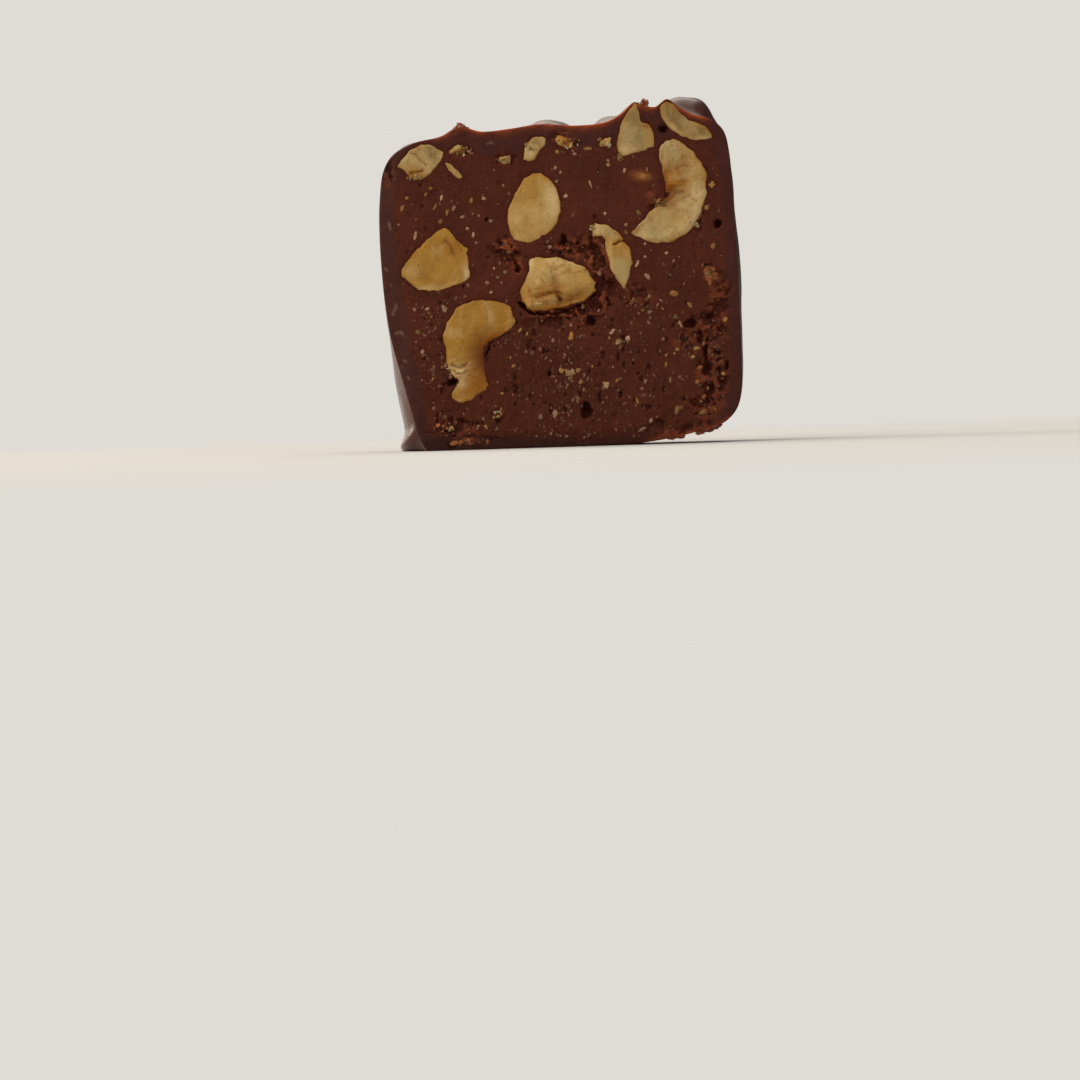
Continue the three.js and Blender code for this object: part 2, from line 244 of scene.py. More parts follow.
def crumb_cells(spots: Array, pitch: float, seed: int) -> tuple[Array, Array, Array]:
    """Sorts spots into irregular cells, each grown round one chance point of a square lattice.

    Args:
        spots: Places on the cut.
        pitch: Mean width of a cell.
        seed: Number of the pattern.

    Returns:
        Distance to the nearest point and to the second nearest, as shares of the pitch, and the cell's
        chance number.
    """
    place = spots / pitch
    home = np.floor(place).astype(np.int64)
    nearest, second, number = np.full((3, *place.shape[:-1]), np.inf)
    for step in np.ndindex(3, 3):
        cell = home + np.array(step) - 1
        point = cell + np.stack([chance_at(cell, seed), chance_at(cell, seed + 1)], axis=-1)
        away = length(point - place)
        closer = away < nearest
        second = np.where(closer, nearest, np.minimum(second, away))
        number = np.where(closer, chance_at(cell, seed + 2), number)
        nearest = np.where(closer, away, nearest)
    return nearest, second, number


def smoothstep(value: Array, low: float, high: float) -> Array:
    """Returns the soft ramp from 0 at low to 1 at high."""
    part = np.clip((value - low) / (high - low), 0, 1)
    return part * part * (3 - 2 * part)


# Places and curves on the cut


def length(vectors: Array) -> Array:
    """Returns the lengths of the vectors on the last axis."""
    return np.sqrt(np.einsum("...i,...i->...", vectors, vectors))


def eased(count: int) -> Array:
    """Returns positions from 0 to 1 that crowd towards both ends, as even steps round half a circle do."""
    return (1 - np.cos(np.linspace(0, np.pi, count))) / 2


def bowl(away: Array) -> Array:
    """Returns the depth of a round bowl, from 1 in its middle to 0 at a distance of 1."""
    return np.sqrt(np.clip(1 - away**2, 0, 1))


def oval_reach(spots: Array, oval: Sequence[float]) -> Array:
    """Returns the distance from the middle of an oval of x, z and half sizes, as a share of its reach."""
    return length((spots - oval[:2]) / oval[2:4])


def along_across(spots: Array, turn: float) -> tuple[Array, Array]:
    """Measures spots along a direction and across it.

    Args:
        spots: Places on the cut.
        turn: Direction in degrees from x.

    Returns:
        The run of each spot along the direction, and across it.
    """
    angle = np.radians(turn)
    x, z = np.moveaxis(spots, -1, 0)
    return x * np.cos(angle) + z * np.sin(angle), z * np.cos(angle) - x * np.sin(angle)


def standing(spots: Array, y: Array) -> Array:
    """Returns points at spots of the cut and at depth y."""
    return np.stack([spots[..., 0], y, spots[..., 1]], axis=-1)


def from_axis(spots: Array) -> tuple[Array, Array]:
    """Returns the bearings of spots from the axis, in radians from x, and their reaches."""
    offset = spots - AXIS
    return np.arctan2(offset[..., 1], offset[..., 0]), length(offset)


def polar(bearings: Array, reach: Array, y: Array | float) -> Array:
    """Returns points at a bearing and a reach from the axis, at depth y."""
    x, z = AXIS[0] + np.cos(bearings) * reach, AXIS[1] + np.sin(bearings) * reach
    return np.stack(np.broadcast_arrays(x, y, z), axis=-1)


def curve_through(points: Array, closed: bool, at: Array) -> Array:
    """Runs a centripetal Catmull-Rom curve through points.

    Each span is a cubic whose end slopes come from the neighbours, weighted by the square root of their
    distance.

    Args:
        points: Spots that the curve passes, one a row.
        closed: Whether the last point joins the first.
        at: Positions along the curve, where whole numbers are the points.

    Returns:
        One spot a row for each position.
    """
    count = len(points)
    if closed:
        ringed = np.vstack([points[-1:], points, points[:2]])
    else:
        ringed = np.vstack([2 * points[:1] - points[1:2], points, 2 * points[-1:] - points[-2:-1]])
    span = np.clip(np.floor(at).astype(int), 0, count - 1 if closed else count - 2)
    before, start, end, after = (ringed[span + i] for i in range(4))
    gaps = [np.maximum(length(b - a), TINY)[:, None] ** 0.5
            for a, b in ((before, start), (start, end), (end, after))]
    leave = (start - before) / gaps[0] - (end - before) / (gaps[0] + gaps[1]) + (end - start) / gaps[1]
    arrive = (end - start) / gaps[1] - (after - start) / (gaps[1] + gaps[2]) + (after - end) / gaps[2]
    t = (at - span)[:, None]
    return ((2 * t**3 - 3 * t**2 + 1) * start + (t**3 - 2 * t**2 + t) * leave * gaps[1]
            + (3 * t**2 - 2 * t**3) * end + (t**3 - t**2) * arrive * gaps[1])


def distance_to_path(spots: Array, path: Array | Sequence[float]) -> Array:
    """Measures how far spots lie from the nearest stretch of a path.

    Args:
        spots: Places on the cut.
        path: x and z of the points that the path runs through.

    Returns:
        One distance for each spot.
    """
    points = np.reshape(path, (-1, 2))
    nearest = np.full(spots.shape[:-1], np.inf)
    for start, end in zip(points[:-1], points[1:]):
        run, offset = end - start, spots - start
        along = np.clip(offset @ run / max(run @ run, TINY), 0, 1)
        nearest = np.minimum(nearest, length(offset - along[..., None] * run))
    return nearest


def depth_inside(spots: Array, ring: Array) -> Array:
    """Measures how far spots lie inside a closed ring, by counting the sides that a ray crosses.

    Args:
        spots: Places on the cut.
        ring: Corners of the ring, without the first one repeated.

    Returns:
        Distance to the ring, positive inside and negative outside.
    """
    closed = np.vstack([ring, ring[:1]])
    x, z = np.moveaxis(spots, -1, 0)
    inside = np.zeros(x.shape, dtype=bool)
    for (x0, z0), (x1, z1) in zip(closed[:-1], closed[1:]):
        crosses = (z0 > z) != (z1 > z)
        inside ^= crosses & (x < x0 + (z - z0) * (x1 - x0) / ((z1 - z0) or TINY))
    return np.where(inside, 1, -1) * distance_to_path(spots, closed)


@dataclass(frozen=True)
class Edge:
    """A closed outline on the cut: counterclockwise spots that a smooth curve passes."""

    points: Points
    steps: int = 6000

    @cached_property
    def dense(self) -> Array:
        """Fine spots along the curve."""
        at = np.linspace(0, len(self.points), self.steps, endpoint=False)
        return curve_through(np.array(self.points, float), True, at)

    @cached_property
    def sweep(self) -> tuple[Array, Array]:
        """Bearings from the axis and reaches of the fine spots, in order of bearing."""
        bearing, reach = from_axis(self.dense)
        order = np.argsort(bearing)
        return bearing[order], reach[order]

    def reach(self, bearings: Array) -> Array:
        """Returns the distance from the axis to the outline at each bearing."""
        return np.interp(bearings, *self.sweep, period=2 * np.pi)

    def beyond(self, spots: Array) -> Array:
        """Returns how far each spot lies outside the outline along its bearing, negative inside."""
        bearing, reach = from_axis(spots)
        return reach - self.reach(bearing)

    def even_bearings(self, count: int) -> Array:
        """Finds points at even steps along the outline.

        Args:
            count: Number of points.

        Returns:
            The bearing of each point.
        """
        closed = np.vstack([self.dense, self.dense[:1]])
        run = np.concatenate([[0], np.cumsum(length(np.diff(closed, axis=0)))])
        at = np.linspace(0, run[-1], count, endpoint=False)
        return from_axis(np.stack([np.interp(at, run, closed[:, i]) for i in (0, 1)], axis=1))[0]


CUT_EDGE = Edge((
    (-13.65, 0), (-12.6, 0), (-6, 0), (2, 0), (7, 0.1), (10.5, 0.5), (13.6, 1.1), (16.2, 1.8), (17.7, 3.1),
    (18.35, 5), (18.45, 10), (18.35, 16), (18.2, 21), (18, 26), (17.85, 29.3), (17.3, 31.6), (16, 32.75),
    (14.2, 33.3), (12.8, 34.15), (11.7, 34.9), (10.5, 34.15), (9.3, 34.35), (8.4, 34.7), (7.2, 33.7),
    (5.6, 32.8), (2.6, 32.5), (-1.3, 32.75), (-4.2, 32.4), (-7.2, 32.2), (-9.4, 32.75), (-11.4, 31.8),
    (-14, 31.25), (-16.2, 30.1), (-17.2, 28.5), (-17.7, 25.3), (-17.8, 21.5), (-17.55, 16), (-17, 11.6),
    (-16, 7.6), (-14.9, 3.4), (-14.4, 1.7),
))
BODY_EDGE = Edge((
    (-16.5, 0.3), (-13.5, 0), (-5, 0), (4, 0), (9, 0.25), (13.5, 1), (16.6, 2), (18.1, 3.6), (18.7, 5.8),
    (18.8, 11), (18.75, 17), (18.45, 23), (18.15, 28), (17.4, 30.7), (15.4, 32.1), (11, 32.4), (5, 31.9),
    (-1, 31.7), (-7, 31.5), (-12.5, 31.1), (-15.6, 30.2), (-17.1, 28.2), (-17.75, 24.5), (-17.8, 20),
    (-17.5, 14.5), (-16.9, 9), (-16.25, 4.8), (-16.05, 2),
))
FILLING_EDGE = Edge((
    (-13.2, 1.9), (-9, 1.25), (-4, 0.9), (2, 0.6), (8, 0.65), (12, 1.2), (15, 2), (16.7, 3.6), (17.3, 6.5),
    (17.3, 12), (17.1, 19), (16.9, 25), (16.5, 29), (14.6, 30.7), (11, 30.8), (7, 30.3), (3, 30.3),
    (-1, 30.6), (-4.5, 29.9), (-8.5, 29.7), (-12, 29.9), (-15, 28.8), (-16.1, 26.4), (-16.2, 21),
    (-15.5, 14.5), (-14.5, 8), (-13.5, 3.6),
))


def pocket(bearings: Array, rows: int, gap: float = 0.0, sink: float = 0.0) -> Array:
    """Works out the wall behind the filling: its edge's reach, drawn in along a quarter circle to a floor.

    Args:
        bearings: Bearings of the columns.
        rows: Number of rows from the front to the floor.
        gap: Room between the filling and the wall.
        sink: Room between the filling and the floor.

    Returns:
        The grid of points, one row after another.
    """
    turn = np.linspace(0, np.pi / 2, rows)[:, None]
    reach = FILLING_EDGE.reach(bearings)[None] + gap - POCKET_ROUND * (1 - np.cos(turn))
    return polar(bearings[None], reach, POCKET_FLOOR + sink - POCKET_ROUND * (1 - np.sin(turn)))


# Meshes


@cache
def frame_shift() -> Array:
    """Sets the cut on the front of the filling, and centres the sides in the coating's box.

    Returns:
        The shift from the frame of the cut to the part's frame, in millimetres.
    """
    low, high = (np.array(corner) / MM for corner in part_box("coating"))
    x = np.concatenate([CUT_EDGE.dense[:, 0], BODY_EDGE.dense[:, 0]])
    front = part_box("filling")[0].y / MM
    return np.array([(low[0] + high[0] - x.min() - x.max()) / 2, front, 0.0])


def metres(points: Array) -> Array:
    """Returns points of the cut frame in metres of the part's frame."""
    return (points + frame_shift()) * MM


def grid_faces(number: Array) -> Array:
    """Returns the quads of an open grid of point numbers."""
    corners = number[:-1, :-1], number[:-1, 1:], number[1:, 1:], number[1:, :-1]
    return np.stack(corners, axis=-1).reshape(-1, 4)


def band_faces(loops: Array) -> Array:
    """Returns the quads between closed loops of point numbers, one loop a row."""
    following = np.roll(loops, -1, axis=1)
    return np.stack([following[:-1], loops[:-1], loops[1:], following[1:]], axis=-1).reshape(-1, 4)


def fan_faces(loop: Array, end: int) -> Array:
    """Returns the triangles from a closed loop of point numbers to one end point."""
    return np.stack([np.roll(loop, -1), loop, np.full(len(loop), end)], axis=1)


def turned_outwards(points: Array, faces: list[Array]) -> list[Array]:
    """Turns faces outwards, judged by the sign of the volume that they enclose.

    Args:
        points: Points of the closed surface.
        faces: Arrays of point numbers, each with faces of one kind.

    Returns:
        The faces, all turned round where the volume is negative.
    """
    volume = 0.0
    for group in faces:
        corner = points[group]
        for second in range(1, group.shape[1] - 1):
            volume += np.sum(corner[:, 0] * np.cross(corner[:, second], corner[:, second + 1]))
    return faces if volume > 0 else [group[:, ::-1] for group in faces]


def make_piece(name: str, points: Array, faces: list[Array], tint: Array, finishes: list[Material],
               kinds: Array | None = None, smooth: bool = True) -> Piece:
    """Makes one closed mesh object from whole arrays and lets it ride on the body.

    Args:
        name: Name of the piece.
        points: Points in millimetres in the frame of the cut.
        faces: Arrays of point numbers, each with faces of one kind.
        tint: Colour of each point.
        finishes: Materials of the piece.
        kinds: Number of the finish of each face, where there is more than one finish.
        smooth: Whether the faces are shaded as one smooth surface.

    Returns:
        The new object, linked to the scene.
    """
    faces = turned_outwards(points, faces)
    mesh = bpy.data.meshes.new(name)
    for finish in finishes:
        mesh.materials.append(finish)
    mesh.vertices.add(len(points))
    mesh.vertices.foreach_set("co", metres(points).astype(np.float32).ravel())
    corners = np.concatenate([group.ravel() for group in faces])
    totals = np.concatenate([np.full(len(group), group.shape[1]) for group in faces])
    mesh.loops.add(len(corners))
    mesh.loops.foreach_set("vertex_index", corners.astype(np.int32))
    mesh.polygons.add(len(totals))
    mesh.polygons.foreach_set("loop_start", (np.cumsum(totals) - totals).astype(np.int32))
    mesh.polygons.foreach_set("use_smooth", np.full(len(totals), smooth))
    if kinds is not None:
        mesh.polygons.foreach_set("material_index", kinds.astype(np.int32))
    layer = mesh.attributes.new("tint", "FLOAT_COLOR", "POINT")
    layer.data.foreach_set("color", np.column_stack([tint, np.ones(len(tint))]).astype(np.float32).ravel())
    mesh.update(calc_edges=True)
    mesh.validate()
    piece = bpy.data.objects.new(name, mesh)
    bpy.context.scene.collection.objects.link(piece)
    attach(piece, "root")
    return piece


def layered(colour: Array, *layers: tuple[Hue, Array]) -> Array:
    """Moves colours towards one hue after another.

    Args:
        colour: Colours to start from.
        layers: Each hue with its share from 0 to 1 for each point.

    Returns:
        The new colours.
    """
    for hue, share in layers:
        colour = colour + (hue.linear() - colour) * np.clip(share, 0, 1)[..., None]
    return colour


# Finishes


class Shader:
    """The nodes of a material or of the surroundings, added one at a time."""

    def __init__(self, owner: Material | bpy.types.World) -> None:
        """Takes over the owner's nodes."""
        owner.use_nodes = True
        self.owner, self.tree = owner, owner.node_tree

    def put(self, socket: Socket, value: object) -> None:
        """Links a socket to another one, or sets its value.

        Args:
            socket: Input of a node.
            value: Output of another node, or a plain value.
        """
        if isinstance(value, Socket):
            self.tree.links.new(value, socket)
        else:
            socket.default_value = value

    def add(self, kind: str, inputs: Inputs | None = None, **settings: object) -> bpy.types.Node:
        """Adds a node.

        Args:
            kind: End of Blender's name of the node type.
            inputs: Values or sockets for its inputs, by name or number.
            settings: Properties of the node.

        Returns:
            The new node.
        """
        node = self.tree.nodes.new("ShaderNode" + kind)
        for setting, value in settings.items():
            setattr(node, setting, value)
        for key, value in (inputs or {}).items():
            self.put(node.inputs[key], value)
        return node

    def places(self, stretch: Triple = (1, 1, 1)) -> Socket:
        """Returns the object's own coordinates in millimetres, stretched along each axis."""
        spot, scale = self.add("TexCoord").outputs["Object"], [1 / MM / part for part in stretch]
        return self.add("Mapping", {"Vector": spot, "Scale": scale}).outputs["Vector"]

    def noise(self, pitch: float, detail: float = 3.0, roughness: float = 0.55,
              stretch: Triple = (1, 1, 1)) -> Socket:
        """Returns noise of a pitch in millimetres."""
        look = {"Scale": 1 / pitch, "Detail": detail, "Roughness": roughness}
        return self.add("TexNoise", {"Vector": self.places(stretch), **look}).outputs["Fac"]

    def ranged(self, value: Socket, low: float, high: float, to_low: float, to_high: float) -> Socket:
        """Returns a value carried from one range to another, with the ends held."""
        inputs = {"Value": value, "From Min": low, "From Max": high, "To Min": to_low, "To Max": to_high}
        return self.add("MapRange", inputs).outputs["Result"]

    def patchy(self, pitch: float, low: float, high: float) -> Socket:
        """Returns noise of a pitch in millimetres, spread from a low to a high value."""
        return self.ranged(self.noise(pitch), 0.3, 0.7, low, high)

    def times(self, first: Socket, second: Socket) -> Socket:
        """Returns the product of two values."""
        return self.add("Math", {0: first, 1: second}, operation="MULTIPLY").outputs[0]

    def tinted(self, *layers: Triple) -> Socket:
        """Reads the mesh's own colour, and makes it lighter and darker by layers of noise.

        Args:
            layers: Pitch in millimetres, lowest and highest factor of each layer.

        Returns:
            The mottled colour.
        """
        colour = self.add("Attribute", attribute_name="tint").outputs["Color"]
        for pitch, low, high in layers:
            factor = self.ranged(self.noise(pitch, 4, 0.6), 0.28, 0.72, low, high)
            colour = self.add("VectorMath", {0: colour, "Scale": factor}, operation="SCALE").outputs[0]
        return colour

    def stained(self, share: Socket, colour: Socket, hue: Hue) -> Socket:
        """Returns a colour moved towards a hue by a share."""
        inputs = {"Fac": share, "Color1": colour, "Color2": hue.opaque()}
        return self.add("MixRGB", inputs).outputs["Color"]

    def bump(self, height: Socket, relief: float, under: Socket | None = None) -> Socket:
        """Adds relief to a normal.

        Args:
            height: Height from 0 to 1.
            relief: Height in millimetres that 1 stands for.
            under: Another normal that this one lies on.

        Returns:
            The new normal.
        """
        inputs: Inputs = {"Height": height, "Distance": relief * MM, "Strength": 1.0}
        if under is not None:
            inputs["Normal"] = under
        return self.add("Bump", inputs).outputs["Normal"]

    def give(self, **inputs: object) -> Material:
        """Sets the principled surface and ends the work.

        Args:
            inputs: Values or sockets by the input's name, with spaces written as underscores.

        Returns:
            The finished material.
        """
        for key, value in inputs.items():
            self.put(self.tree.nodes["Principled BSDF"].inputs[key.replace("_", " ")], value)
        return self.owner


@dataclass(frozen=True)
class PasteFinish:
    """A dull cut through paste or coat: mottled brown with grain, specks, pits and faint upright drag lines,
    the pits and lines darkened with painted shade.

    Specks, pits and lines are strong below one height and weak above another, in millimetres.
    """

    name: str = "nut_paste"
    specular: float = 0.09
    specks: float = 0.4
    pits: float = 0.8
    lines: float = 0.5
    strong_below: float = 11.0
    weak_above: float = 18.0
    weak_share: float = 0.35
    grain_relief: float = 0.1
    pit_relief: float = 0.07
    line_relief: float = 0.03

    @cached_property
    def material(self) -> Material:
        """The finished material."""
        shader = Shader(bpy.data.materials.new(self.name))
        colour = shader.tinted((1.2, 0.86, 1.14), (0.22, 0.8, 1.2))
        height = shader.add("SeparateXYZ", {0: shader.places()}).outputs["Z"]
        low_down = shader.ranged(height, self.strong_below, self.weak_above, 1.0, self.weak_share)
        speck = shader.ranged(shader.noise(0.6, 4, 0.75, (1, 1, 1.3)), 0.6, 0.72, 0.0, self.specks)
        hole = shader.noise(0.3, 3, 0.7, (1, 1, 1.8))
        pit = shader.ranged(hole, 0.36, 0.3, 0.0, self.pits)
        line = shader.noise(0.2, 2, 0.5, (1, 1, 14))
        streak = shader.ranged(line, 0.35, 0.25, 0.0, self.lines)
        # Pits and drag lines are darkened towards a painted shade colour.
        for share, hue in ((speck, Hue.FLECK_TAN), (pit, Hue.PIT_SHADE), (streak, Hue.PIT_SHADE)):
            colour = shader.stained(shader.times(share, low_down), colour, hue)
        drag = shader.bump(line, self.line_relief)
        grain = shader.bump(shader.noise(0.3, 4, 0.65), self.grain_relief, drag)
        relief = shader.bump(shader.ranged(hole, 0.3, 0.4, 0.0, 1.0), self.pit_relief * self.pits, grain)
        return shader.give(Base_Color=colour, Roughness=shader.patchy(0.8, 0.58, 0.76), Normal=relief,
                           Specular_IOR_Level=self.specular)


@dataclass(frozen=True)
class CoatFinish:
    """Satin dark chocolate, with a soft unevenness left by setting."""

    name: str = "chocolate_coat"
    specular: float = 0.41
    sheen: tuple[float, ...] = (1.0, 0.86, 0.72, 1.0)
    wave_relief: float = 0.04
    grain_relief: float = 0.01

    @cached_property
    def material(self) -> Material:
        """The finished material."""
        shader = Shader(bpy.data.materials.new(self.name))
        colour = shader.tinted((3.5, 0.88, 1.12), (0.3, 0.92, 1.08))
        rough = shader.ranged(shader.noise(2.0, 4, 0.6), 0.3, 0.7, 0.22, 0.36)
        wave = shader.bump(shader.noise(1.6, 2, 0.5), self.wave_relief)
        relief = shader.bump(shader.noise(0.28, 4, 0.65), self.grain_relief, wave)
        return shader.give(Base_Color=colour, Roughness=rough, Normal=relief,
                           Specular_IOR_Level=self.specular, Specular_Tint=self.sheen)


@dataclass(frozen=True)
class NutFinish:
    """Cut nut flesh: waxy, with fine grain, short fibres and soft light under its surface."""

    name: str = "nut_flesh"
    specular: float = 0.09
    glow: float = 0.12
    glow_depth: float = 0.3
    glow_spread: Triple = (1.0, 0.6, 0.25)
    lump_relief: float = 0.1
    grain_relief: float = 0.03

    @cached_property
    def material(self) -> Material:
        """The finished material."""
        shader = Shader(bpy.data.materials.new(self.name))
        fibre = shader.ranged(shader.noise(0.3, 3, 0.6, (1, 1, 4)), 0.55, 0.75, 0.0, 0.3)
        colour = shader.stained(fibre, shader.tinted((1.5, 0.88, 1.12), (0.16, 0.88, 1.12)), Hue.AMBER)
        lumps = shader.bump(shader.noise(0.6, 4, 0.6), self.lump_relief)
        relief = shader.bump(shader.noise(0.14, 3, 0.6), self.grain_relief, lumps)
        return shader.give(Base_Color=colour, Roughness=shader.patchy(0.6, 0.45, 0.65), Normal=relief,
                           Specular_IOR_Level=self.specular, Subsurface_Weight=self.glow,
                           Subsurface_Radius=self.glow_spread, Subsurface_Scale=self.glow_depth * MM)


@dataclass(frozen=True)
class BitFinish:
    """Small bits of nut, crumb or flake, each in its own colour."""

    name: str
    roughness: float = 0.62
    uneven: float = 0.1
    specular: float = 0.2
    grain_relief: float = 0.04

    @cached_property
    def material(self) -> Material:
        """The finished material."""
        shader = Shader(bpy.data.materials.new(self.name))
        relief = shader.bump(shader.noise(0.12, 3, 0.6), self.grain_relief)
        rough = shader.patchy(0.3, self.roughness - self.uneven, self.roughness + self.uneven)
        return shader.give(Base_Color=shader.tinted((0.12, 0.78, 1.22)), Roughness=rough, Normal=relief,
                           Specular_IOR_Level=self.specular)


# The nut pieces

# Steps of a nut's grid: number per millimetre, fewest and most
ALONG_STEPS = (11, 24, 120)
ACROSS_STEPS = (6, 14, 56)
HIDDEN_STEPS = 12
JAG_FADE = 0.6
FIBRE_STRETCH = 5
STREAK_STRETCH = 6


@dataclass(frozen=True)
class Stain:
    """A patch of another colour: its middle, half width, half height, hue, strength and turn in degrees.

    A dent is the depth of the hollow under the patch, negative where the patch stands proud.
    """

    x: float
    z: float
    half_width: float
    half_height: float
    hue: Hue
    strength: float = 1.0
    turn: float = 0.0
    streaky: bool = False
    dent: float = 0.0

    def share(self, spots: Array) -> Array:
        """Works out the strength of the patch, which falls off as a bell and may be broken into streaks.

        Args:
            spots: Places on the cut.

        Returns:
            One share for each spot.
        """
        along, across = along_across(spots - (self.x, self.z), self.turn)
        share = self.strength * np.exp(-((along / self.half_width) ** 2) - (across / self.half_height) ** 2)
        if self.streaky:
            streaks = Pattern.STAIN_STREAKS.at(np.stack([along / STREAK_STRETCH, across], axis=-1))
            share *= 0.3 + 0.9 * smoothstep(streaks, -0.3, 0.4)
        return share


@dataclass(frozen=True)
class Nut:
    """A piece of nut in the cut.

    Its cut face is a sheet between the two edges of a ladder of rungs, and its hidden side is a rounded sheet
    on the same edges. A rung is x and z on one edge, then x and z on the other. A crack is half width, depth,
    then x and z of the points that it runs through.
    """

    name: str
    rungs: Points
    depth: float
    hue: Hue
    seed: int
    proud: float = 0.0
    stains: tuple[Stain, ...] = ()
    cracks: Points = ()
    fibre: float = 90.0
    ragged: float = 0.16
    rough: float = 0.07
    lift: float = 0.03
    rim_drop: float = 0.14
    rim_width: float = 0.07
    broken: float = 0.12
    break_depth: float = 0.06
    thinnest: float = 0.02
    bulge_power: float = 0.375

    def edges(self, along: Array) -> tuple[Array, Array]:
        """Returns the spots of both edges at positions from 0 to 1 along the ladder."""
        rungs, at = np.array(self.rungs, float), along * (len(self.rungs) - 1)
        return curve_through(rungs[:, :2], False, at), curve_through(rungs[:, 2:], False, at)

    def ring(self, samples: int = 90) -> Array:
        """Returns the outline of the cut face as a closed ring."""
        near, far = self.edges(np.linspace(0, 1, samples))
        return np.vstack([near, far[::-1]])

    @cached_property
    def steps(self) -> tuple[Array, Array]:
        """Positions along the ladder and between its edges, both from 0 to 1."""
        span = np.ptp(self.ring(), axis=0).max()
        pace, fewest, most = np.transpose([ALONG_STEPS, ACROSS_STEPS])
        along, across = np.clip(span * pace, fewest, most).astype(int)
        return (np.linspace(0, 1, along) + eased(along)) / 2, eased(across)

    @cached_property
    def sheet(self) -> tuple[Array, Array]:
        """Spots of the sheet between the edges, jagged towards the outline, and their distance from it."""
        along, across = self.steps
        near, far = self.edges(along)
        flat = near[:, None] + (far - near)[:, None] * across[None, :, None]
        inside = np.maximum(depth_inside(flat, self.ring()), 0)
        return flat + self.ragged * jagged(flat) * np.exp(-inside / JAG_FADE)[..., None], inside

    def pattern(self, pattern: Pattern) -> Array:
        """Returns a chance pattern on the sheet, different for each nut."""
        return pattern.at(self.sheet[0], self.seed)

    def crack_share(self, spread: float) -> Array:
        """Works out the cracks, each a bell across a path that wanders a little.

        Args:
            spread: Factor on the width of the cracks.

        Returns:
            The depth of the deepest crack at each spot.
        """
        spots, inside = self.sheet
        wandering = spots + 0.1 * drift(spots, 0.6, 2, (45, 47))
        deepest = np.zeros(inside.shape)
        for half_width, depth, *path in self.cracks:
            gap = distance_to_path(wandering, path)
            deepest = np.maximum(deepest, depth * np.exp(-((gap / half_width / spread) ** 2)))
        return deepest

    @cached_property
    def hairlines(self) -> Array:
        """Strength of hairline breaks, which follow stretches of the borders between irregular cells."""
        wandering = self.sheet[0] + 0.3 * drift(self.sheet[0], 1.1, 3, (91, 93))
        nearest, second, _ = crumb_cells(wandering, 1.5, 90 + self.seed)
        stretch = smoothstep(self.pattern(Pattern.NUT_BREAKS), 0.0, 0.35)
        return stretch * (1 - smoothstep(second - nearest, 0.02, 0.1))

    @property
    def front(self) -> Array:
        """Depth of the cut face: a little proud, rounded off at its rim, grained, dented and cracked."""
        spots, inside = self.sheet
        rim = self.rim_drop * np.exp(-inside / self.rim_width)
        grain = self.rough * self.pattern(Pattern.NUT_GRAIN) * smoothstep(inside, 0, 0.4)
        dents = sum(stain.dent * stain.share(spots) for stain in self.stains)
        swell = self.lift + self.proud * smoothstep(inside, 0, 1.6)
        breaks = self.crack_share(1.0) + self.break_depth * self.broken * self.hairlines
        return rim + grain + dents - swell + breaks

    @property
    def tint(self) -> Array:
        """Colour of the cut face: cloudy, amber at its rim, stained, dark at pits, and with painted shade in
        cracks and in the dips of its grain.
        """
        spots, inside = self.sheet
        cloud = self.pattern(Pattern.NUT_CLOUDS)
        along, across = along_across(spots, self.fibre)
        threads = Pattern.NUT_THREADS.at(np.stack([along / FIBRE_STRETCH, across], axis=-1), self.seed)
        dips = smoothstep(self.pattern(Pattern.NUT_GRAIN), 0.15, 0.8)
        # Strength of the gold and amber at the rim, which varies in patches.
        rim_tone = 0.5 + 0.6 * self.pattern(Pattern.NUT_RIM_TONE)
        nearest, _, number = crumb_cells(spots, 0.8, 60 + self.seed)
        pit = (number < 0.16) * (1 - smoothstep(nearest, 0.06, 0.16))
        return layered(
            np.broadcast_to(self.hue.linear(), (*inside.shape, 3)),
            (Hue.CREAM, 0.3 * smoothstep(cloud, 0.1, 0.7)),
            (Hue.GOLD, 0.4 * smoothstep(-cloud, 0.1, 0.7)),
            (Hue.CREAM, 0.15 * smoothstep(threads, 0.15, 0.7)),
            (Hue.AMBER, 0.12 * smoothstep(-threads, 0.2, 0.7)),
            # Painted shade: the dips of the grain are darkened towards amber.
            (Hue.AMBER, np.minimum(4 * self.rough, 0.7) * dips),
            (Hue.GOLD, rim_tone * np.exp(-inside / 0.4)),
            *((stain.hue, stain.share(spots)) for stain in self.stains),
            (Hue.SKIN_AND_SHADE, 0.45 * pit),
            # Painted shade in cracks: amber round them, darker in their cores.
            (Hue.AMBER, np.minimum(2 * self.crack_share(2.0), 0.6)),
            (Hue.SKIN_AND_SHADE, np.minimum(3 * self.crack_share(0.9), 0.9)),
            (Hue.AMBER, self.broken * self.hairlines),
            (Hue.AMBER, rim_tone * np.exp(-inside / 0.1)))

    def build(self, finish: Material) -> Piece:
        """Makes the piece as a closed pillow, with a fine cut face and a plain hidden side.

        The hidden side bulges as a power of two parabolas, along and across, and less by the cut's edge.

        Args:
            finish: Material of the nut flesh.

        Returns:
            The nut, which replaces the solid of the same name.
        """
        along, across = self.steps
        front = standing(self.sheet[0], self.front)
        back_across = eased(HIDDEN_STEPS)
        back = [[np.interp(back_across, across, line[:, i]) for i in range(3)] for line in front]
        back = np.moveaxis(np.array(back), 1, 2)
        full = (1 - (2 * back_across - 1) ** 2)[None] * (1 - (2 * along - 1) ** 2)[:, None]
        room = smoothstep(-CUT_EDGE.beyond(back[..., ::2]), 0.1, 2.4)
        back[..., 1] = np.maximum(back[..., 1] + self.thinnest, self.depth * room * full**self.bulge_power)
        piece = self.close(front, back[1:-1, 1:-1], finish)
        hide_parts(self.name)
        return piece

